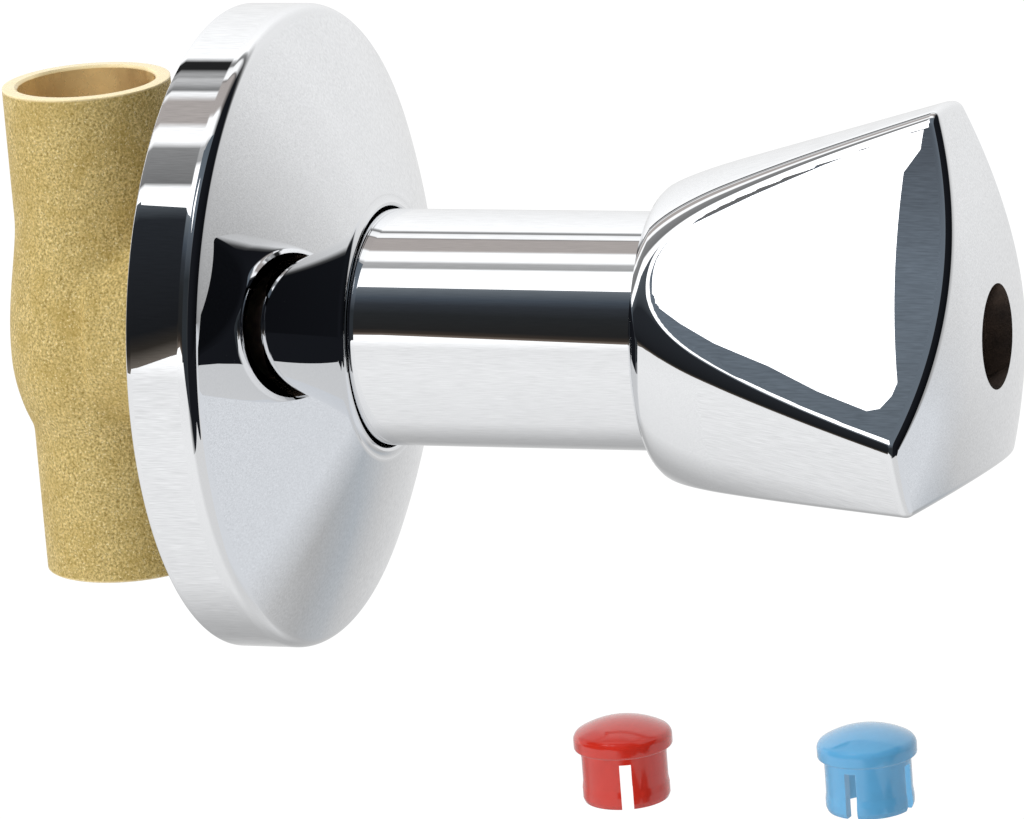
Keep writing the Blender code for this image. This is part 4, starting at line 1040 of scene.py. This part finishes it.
class VALVE_OT_caps(Operator):
    """Builds the red and the blue index cap"""
    bl_idname = "valve.caps"
    bl_label = "Index caps"

    def execute(self, context):
        sizes = context.scene.valve_cap_sizes
        finishes = context.scene.valve_finishes
        shades = {"red_plastic": finishes.red, "blue_plastic": finishes.blue}
        for name, (out, turn, node, slot) in CAP_PLACES.items():
            piece = finished(name, turned(self.outline(sizes), 128))
            low = -MM
            high = sizes.leg_length - sizes.slot_gap
            for quarter in (0, pi / 2):
                cutter = bmesh.new()
                bmesh.ops.create_cube(cutter, size=1.0)
                bmesh.ops.scale(cutter, vec=(4 * sizes.leg_radius, sizes.slot, high - low),
                                verts=cutter.verts)
                bmesh.ops.translate(cutter, vec=(0, 0, (high + low) / 2), verts=cutter.verts)
                bmesh.ops.rotate(cutter, cent=(0, 0, 0), matrix=Matrix.Rotation(quarter, 3, "Z"),
                                 verts=cutter.verts)
                combine(piece, cutter, "DIFFERENCE")
            stand = Matrix.Translation((0, -out, -sizes.stand)) @ Matrix.Rotation(turn, 4, "Z")
            piece.data.transform(stand)
            piece.data.shade_smooth()
            piece.data.set_sharp_from_angle(angle=radians(40))
            dress(piece, plastic_material(name + "_plastic", shades[slot], 0.16), "valve", slot, node)
            piece.visible_glossy = False
            piece.visible_diffuse = False
            piece.visible_shadow = False
        return {"FINISHED"}

    def outline(self, sizes):
        """The cap standing on its legs: hollow leg tube, snap bead and domed head."""
        head = sizes.head_radius
        leg = sizes.leg_radius
        top = sizes.leg_length + sizes.head_edge
        ball = (head ** 2 + sizes.dome ** 2) / (2 * sizes.dome)
        inner = leg - sizes.leg_wall
        points = [(0, sizes.leg_length, 0), (inner, sizes.leg_length, 0.2 * MM),
                  (inner, 0, 0.1 * MM), (leg - sizes.bead, 0, 0.1 * MM),
                  (leg + sizes.bead, sizes.bead_height * 0.4, 0.1 * MM),
                  (leg + sizes.bead, sizes.bead_height, 0.1 * MM),
                  (leg, sizes.bead_height * 1.6, 0.1 * MM), (leg, sizes.leg_length, 0.15 * MM),
                  (head, sizes.leg_length, 0.25 * MM), (head, top, 0.5 * MM)]
        pieces = 12
        for i in range(1, pieces + 1):
            radius = (head - 0.6 * MM) * (1 - (i - 1) / (pieces - 1))
            points.append((radius, top + sizes.dome - ball + sqrt(ball ** 2 - radius ** 2), 0))
        return points


class VALVE_OT_finishes(Operator):
    """Makes the finishes and gives the inner pieces theirs"""
    bl_idname = "valve.finishes"
    bl_label = "Finishes"

    def execute(self, context):
        finishes = context.scene.valve_finishes
        chrome_material(finishes)
        made = {
            "turned_brass": turned_brass_material(finishes),
            "steel": steel_material(finishes),
            "black_rubber": rubber_material(finishes),
            "fibre": fibre_material(finishes),
            "white_plastic": plastic_material("white_bush_plastic", finishes.white, 0.35),
        }
        for part in frame["record"]["subparts"]:
            if part["material_slot"] in made:
                node = frame["nodes"][part["node"]]
                for slot in node.material_slots:
                    slot.material = made[part["material_slot"]]
        return {"FINISHED"}


class VALVE_OT_studio(Operator):
    """Sets up the camera, the floor, the white surround, the softbox and the lamp"""
    bl_idname = "valve.studio"
    bl_label = "Studio"

    def execute(self, context):
        settings = context.scene.valve_studio
        self.camera(context, settings)
        self.floor()
        self.surround(context, settings)
        self.softbox(settings)
        self.key_light(context, settings)
        context.scene.view_settings.view_transform = "Standard"
        context.scene.view_settings.look = "None"
        return {"FINISHED"}

    def camera(self, context, settings):
        """The camera at the photograph's angle."""
        azimuth = settings.azimuth
        lift = settings.elevation
        back = Vector((sin(azimuth) * cos(lift), -cos(azimuth) * cos(lift), sin(lift)))
        right = (-back).cross(Vector((0, 0, 1))).normalized()
        up = right.cross(-back)
        across = right * cos(settings.roll) + up * sin(settings.roll)
        above = up * cos(settings.roll) - right * sin(settings.roll)
        data = bpy.data.cameras.new("camera")
        data.lens = settings.focal
        data.sensor_width = 36.0
        data.clip_start = 0.05
        data.clip_end = 50.0
        camera = bpy.data.objects.new("camera", data)
        context.scene.collection.objects.link(camera)
        turn = Matrix((across, above, back)).transposed().to_4x4()
        camera.matrix_world = Matrix.Translation(CAMERA_TARGET + back * settings.distance) @ turn
        context.scene.camera = camera

    def floor(self):
        """A pale floor that the camera sees as plain white paper."""
        shape = bmesh.new()
        bmesh.ops.create_grid(shape, x_segments=1, y_segments=1, size=FLOOR_SIZE)
        bmesh.ops.translate(shape, vec=(0, 0, FLOOR_HEIGHT), verts=shape.verts)
        floor = finished("floor", shape)
        material, graph, shader = new_material("floor_paper")
        shader.inputs["Base Color"].default_value = (0.80, 0.81, 0.83, 1.0)
        shader.inputs["Roughness"].default_value = 0.9
        glow = graph.node("ShaderNodeEmission")
        glow.inputs["Strength"].default_value = PAPER_GLOW
        seen = graph.node("ShaderNodeLightPath").outputs["Is Camera Ray"]
        mixed = graph.node("ShaderNodeMixShader")
        graph.feed(mixed.inputs[0], seen)
        graph.links.new(shader.outputs[0], mixed.inputs[1])
        graph.links.new(glow.outputs[0], mixed.inputs[2])
        graph.links.new(mixed.outputs[0], material.node_tree.nodes["Material Output"].inputs[0])
        floor.data.materials.append(material)
        floor.visible_glossy = False

    def surround(self, context, settings):
        """White studio walls with a dark flag on the camera's side, laid out round the spindle."""
        world = bpy.data.worlds.new("studio")
        world.use_nodes = True
        context.scene.world = world
        graph = Graph(world.node_tree)
        direction = graph.node("ShaderNodeTexCoord").outputs["Generated"]
        parts = graph.node("ShaderNodeSeparateXYZ")
        graph.feed(parts.inputs[0], direction)
        across, back, up = parts.outputs
        aside = graph.math("MULTIPLY", across, -1.0)
        turn = graph.math("MULTIPLY", graph.math("ARCTAN2", aside, up), 180 / pi)
        wall = graph.mix(graph.spread(back, -0.33, 0.0),
                         self.front_wall(graph, turn, back, settings.surround),
                         self.back_wall(graph, turn, back, settings.surround))
        in_flag, flag_shade = self.flag(graph, turn, back)
        seen = graph.mix(in_flag, wall, flag_shade)
        speckle = graph.spread(graph.noise(direction, 420.0), 0.3, 0.7, 0.86, 1.14)
        seen = graph.mix(1.0, seen, speckle, "MULTIPLY")
        light = graph.node("ShaderNodeLightPath")
        daylight = graph.spread(up, -1.0, 1.0, 0.30, 0.66)
        soft = graph.mix(light.outputs["Is Diffuse Ray"], seen, daylight)
        back_drop = graph.mix(light.outputs["Is Camera Ray"], soft, PAPER_GLOW)
        shader = world.node_tree.nodes["Background"]
        graph.feed(shader.inputs["Color"], back_drop)
        shader.inputs["Strength"].default_value = 1.0

    def painted(self, graph, turn, stops, brightness):
        """A wall's shade by turn, from stops in degrees."""
        scaled = [((place + 180) / 360, [number * brightness for number in full(shade)[:3]])
                  for place, shade in stops]
        return graph.ramp(graph.spread(turn, -180.0, 180.0), scaled)

    def back_wall(self, graph, turn, back, brightness):
        """The walls beside and behind the valve, which the sleeve and the rim show."""
        beside = self.painted(graph, turn, LOW_WALL + SLEEVE_WALL + HIGH_WALL, brightness)
        behind = self.painted(graph, turn, LOW_WALL + RIM_WALL + HIGH_WALL, brightness)
        return graph.mix(graph.spread(back, *RIM_VIEW), beside, behind)

    def front_wall(self, graph, turn, back, brightness):
        """The wall in front of the valve, which the rosette's face shows, and its dark flag."""
        from_axis = graph.ramp(graph.spread(back, -1.0, -0.5), AXIS_SHADES)
        wall = graph.mix(1.0, self.painted(graph, turn, FRONT_WALL, brightness), from_axis,
                         "MULTIPLY")
        below = graph.math("MULTIPLY", graph.spread(back, -0.5, -0.66),
                           graph.spread(turn, -104.0, -116.0))
        wall = graph.mix(below, wall, (0.74, 0.76, 0.79))
        edge = graph.spread(back, -0.93, -0.80, 154.0, 120.0)
        in_flag = graph.math("MULTIPLY", graph.math("GREATER_THAN", turn, 90.0),
                             graph.math("LESS_THAN", turn, edge))
        wall = graph.mix(in_flag, wall, BLACK)
        return graph.mix(graph.math("GREATER_THAN", turn, edge), wall, 0.74)

    def flag(self, graph, turn, back):
        """The dark flag beside the valve: where it stands and its shade."""
        ahead = graph.math("MAXIMUM", graph.math("SUBTRACT", 0.25, back), 0.0)
        low_edge = graph.math("ADD", self.curved(graph, back, FLAG_LOW_EDGE),
                              graph.math("MULTIPLY", ahead, 38.5))
        high_edge = graph.math("SUBTRACT", self.curved(graph, back, FLAG_HIGH_EDGE),
                               graph.math("MULTIPLY", ahead, 13.0))
        share = graph.spread(turn, 31.0, low_edge)
        slate = graph.ramp(graph.spread(turn, 12.0, 60.0), SLATE_SHADES)
        shade = graph.mix(graph.spread(back, 0.31, 0.325), slate, graph.ramp(share, FLAG_SHADES))
        shade = graph.mix(graph.spread(back, *RIM_VIEW), shade, graph.ramp(share, RIM_FLAG_SHADES))
        between = graph.math("MULTIPLY", graph.math("GREATER_THAN", turn, high_edge),
                             graph.math("LESS_THAN", turn, low_edge))
        return graph.math("MULTIPLY", between, graph.spread(back, -0.33, -0.28)), shade

    def curved(self, graph, value, points):
        """An angle in degrees that follows a value along points, given in hundreds of degrees."""
        made = graph.node("ShaderNodeFloatCurve")
        curve = made.mapping.curves[0]
        first = points[0][0]
        last = points[-1][0]
        while len(curve.points) < len(points):
            curve.points.new(0.5, 0.5)
        for point, (place, height) in zip(curve.points, points):
            point.location = ((place - first) / (last - first), height)
            point.handle_type = "VECTOR"
        made.mapping.update()
        graph.feed(made.inputs["Value"], graph.spread(value, first, last))
        return graph.math("MULTIPLY", made.outputs[0], 100.0)

    def softbox(self, settings):
        """A softbox above the handle, with a grey card along its edge, seen in reflections."""
        self.card("softbox", SOFTBOX_CORNERS, settings.softbox)
        self.card("grey_card", GREY_CARD_CORNERS, GREY_CARD_GLOW)

    def card(self, name, corners, strength):
        """A glowing card over the handle, its corners in millimetres along and across."""
        ahead = Vector((-sin(CARD_LEAN), 0, cos(CARD_LEAN)))
        side = Vector((-cos(CARD_LEAN), 0, -sin(CARD_LEAN)))
        middle = ahead * CARD_DISTANCE
        shape = bmesh.new()
        verts = [shape.verts.new(middle + Vector((0, along * MM, 0)) + side * (aside * MM))
                 for along, aside in corners]
        shape.faces.new(verts)
        card = finished(name, shape)
        material, graph, shader = new_material(name + "_cloth")
        glow = graph.node("ShaderNodeEmission")
        glow.inputs["Strength"].default_value = strength
        graph.links.new(glow.outputs[0], material.node_tree.nodes["Material Output"].inputs[0])
        card.data.materials.append(material)
        card.visible_camera = False
        card.visible_shadow = False

    def key_light(self, context, settings):
        """A soft lamp above the body, which lights the brass and the caps."""
        data = bpy.data.lights.new("key", "SUN")
        data.energy = settings.key
        data.angle = radians(30)
        lamp = bpy.data.objects.new("key", data)
        context.scene.collection.objects.link(lamp)
        lamp.matrix_world = KEY_DIRECTION.to_track_quat("Z", "Y").to_matrix().to_4x4()
        lamp.visible_glossy = False


class VALVE_PT_panel(Panel):
    """Lists the valve's pieces in the sidebar"""
    bl_label = "Stop valve"
    bl_idname = "VALVE_PT_panel"
    bl_space_type = "VIEW_3D"
    bl_region_type = "UI"
    bl_category = "Stop valve"

    def draw(self, context):
        column = self.layout.column()
        for operator in OPERATORS:
            column.operator(operator.bl_idname)
        for name in SETTINGS:
            box = self.layout.box()
            group = getattr(context.scene, name)
            for key in group.bl_rna.properties.keys():
                if key not in {"rna_type", "name"}:
                    box.prop(group, key)


SETTINGS = {
    "valve_body_sizes": BodySizes,
    "valve_trim_sizes": TrimSizes,
    "valve_handle_sizes": HandleSizes,
    "valve_cap_sizes": CapSizes,
    "valve_finishes": ValveFinishes,
    "valve_studio": StudioSettings,
}
OPERATORS = [VALVE_OT_studio, VALVE_OT_finishes, VALVE_OT_body, VALVE_OT_sleeve,
             VALVE_OT_rosette, VALVE_OT_handle, VALVE_OT_caps]


def register():
    for name, kind in SETTINGS.items():
        bpy.utils.register_class(kind)
        setattr(bpy.types.Scene, name, PointerProperty(type=kind))
    for kind in OPERATORS + [VALVE_PT_panel]:
        bpy.utils.register_class(kind)


def unregister():
    for kind in reversed(OPERATORS + [VALVE_PT_panel]):
        bpy.utils.unregister_class(kind)
    for name, kind in reversed(SETTINGS.items()):
        delattr(bpy.types.Scene, name)
        bpy.utils.unregister_class(kind)


def main():
    register()
    bpy.ops.valve.studio()
    bpy.ops.valve.finishes()
    bpy.ops.valve.body()
    bpy.ops.valve.sleeve()
    bpy.ops.valve.rosette()
    bpy.ops.valve.handle()
    bpy.ops.valve.caps()


if __name__ == "__main__":
    main()
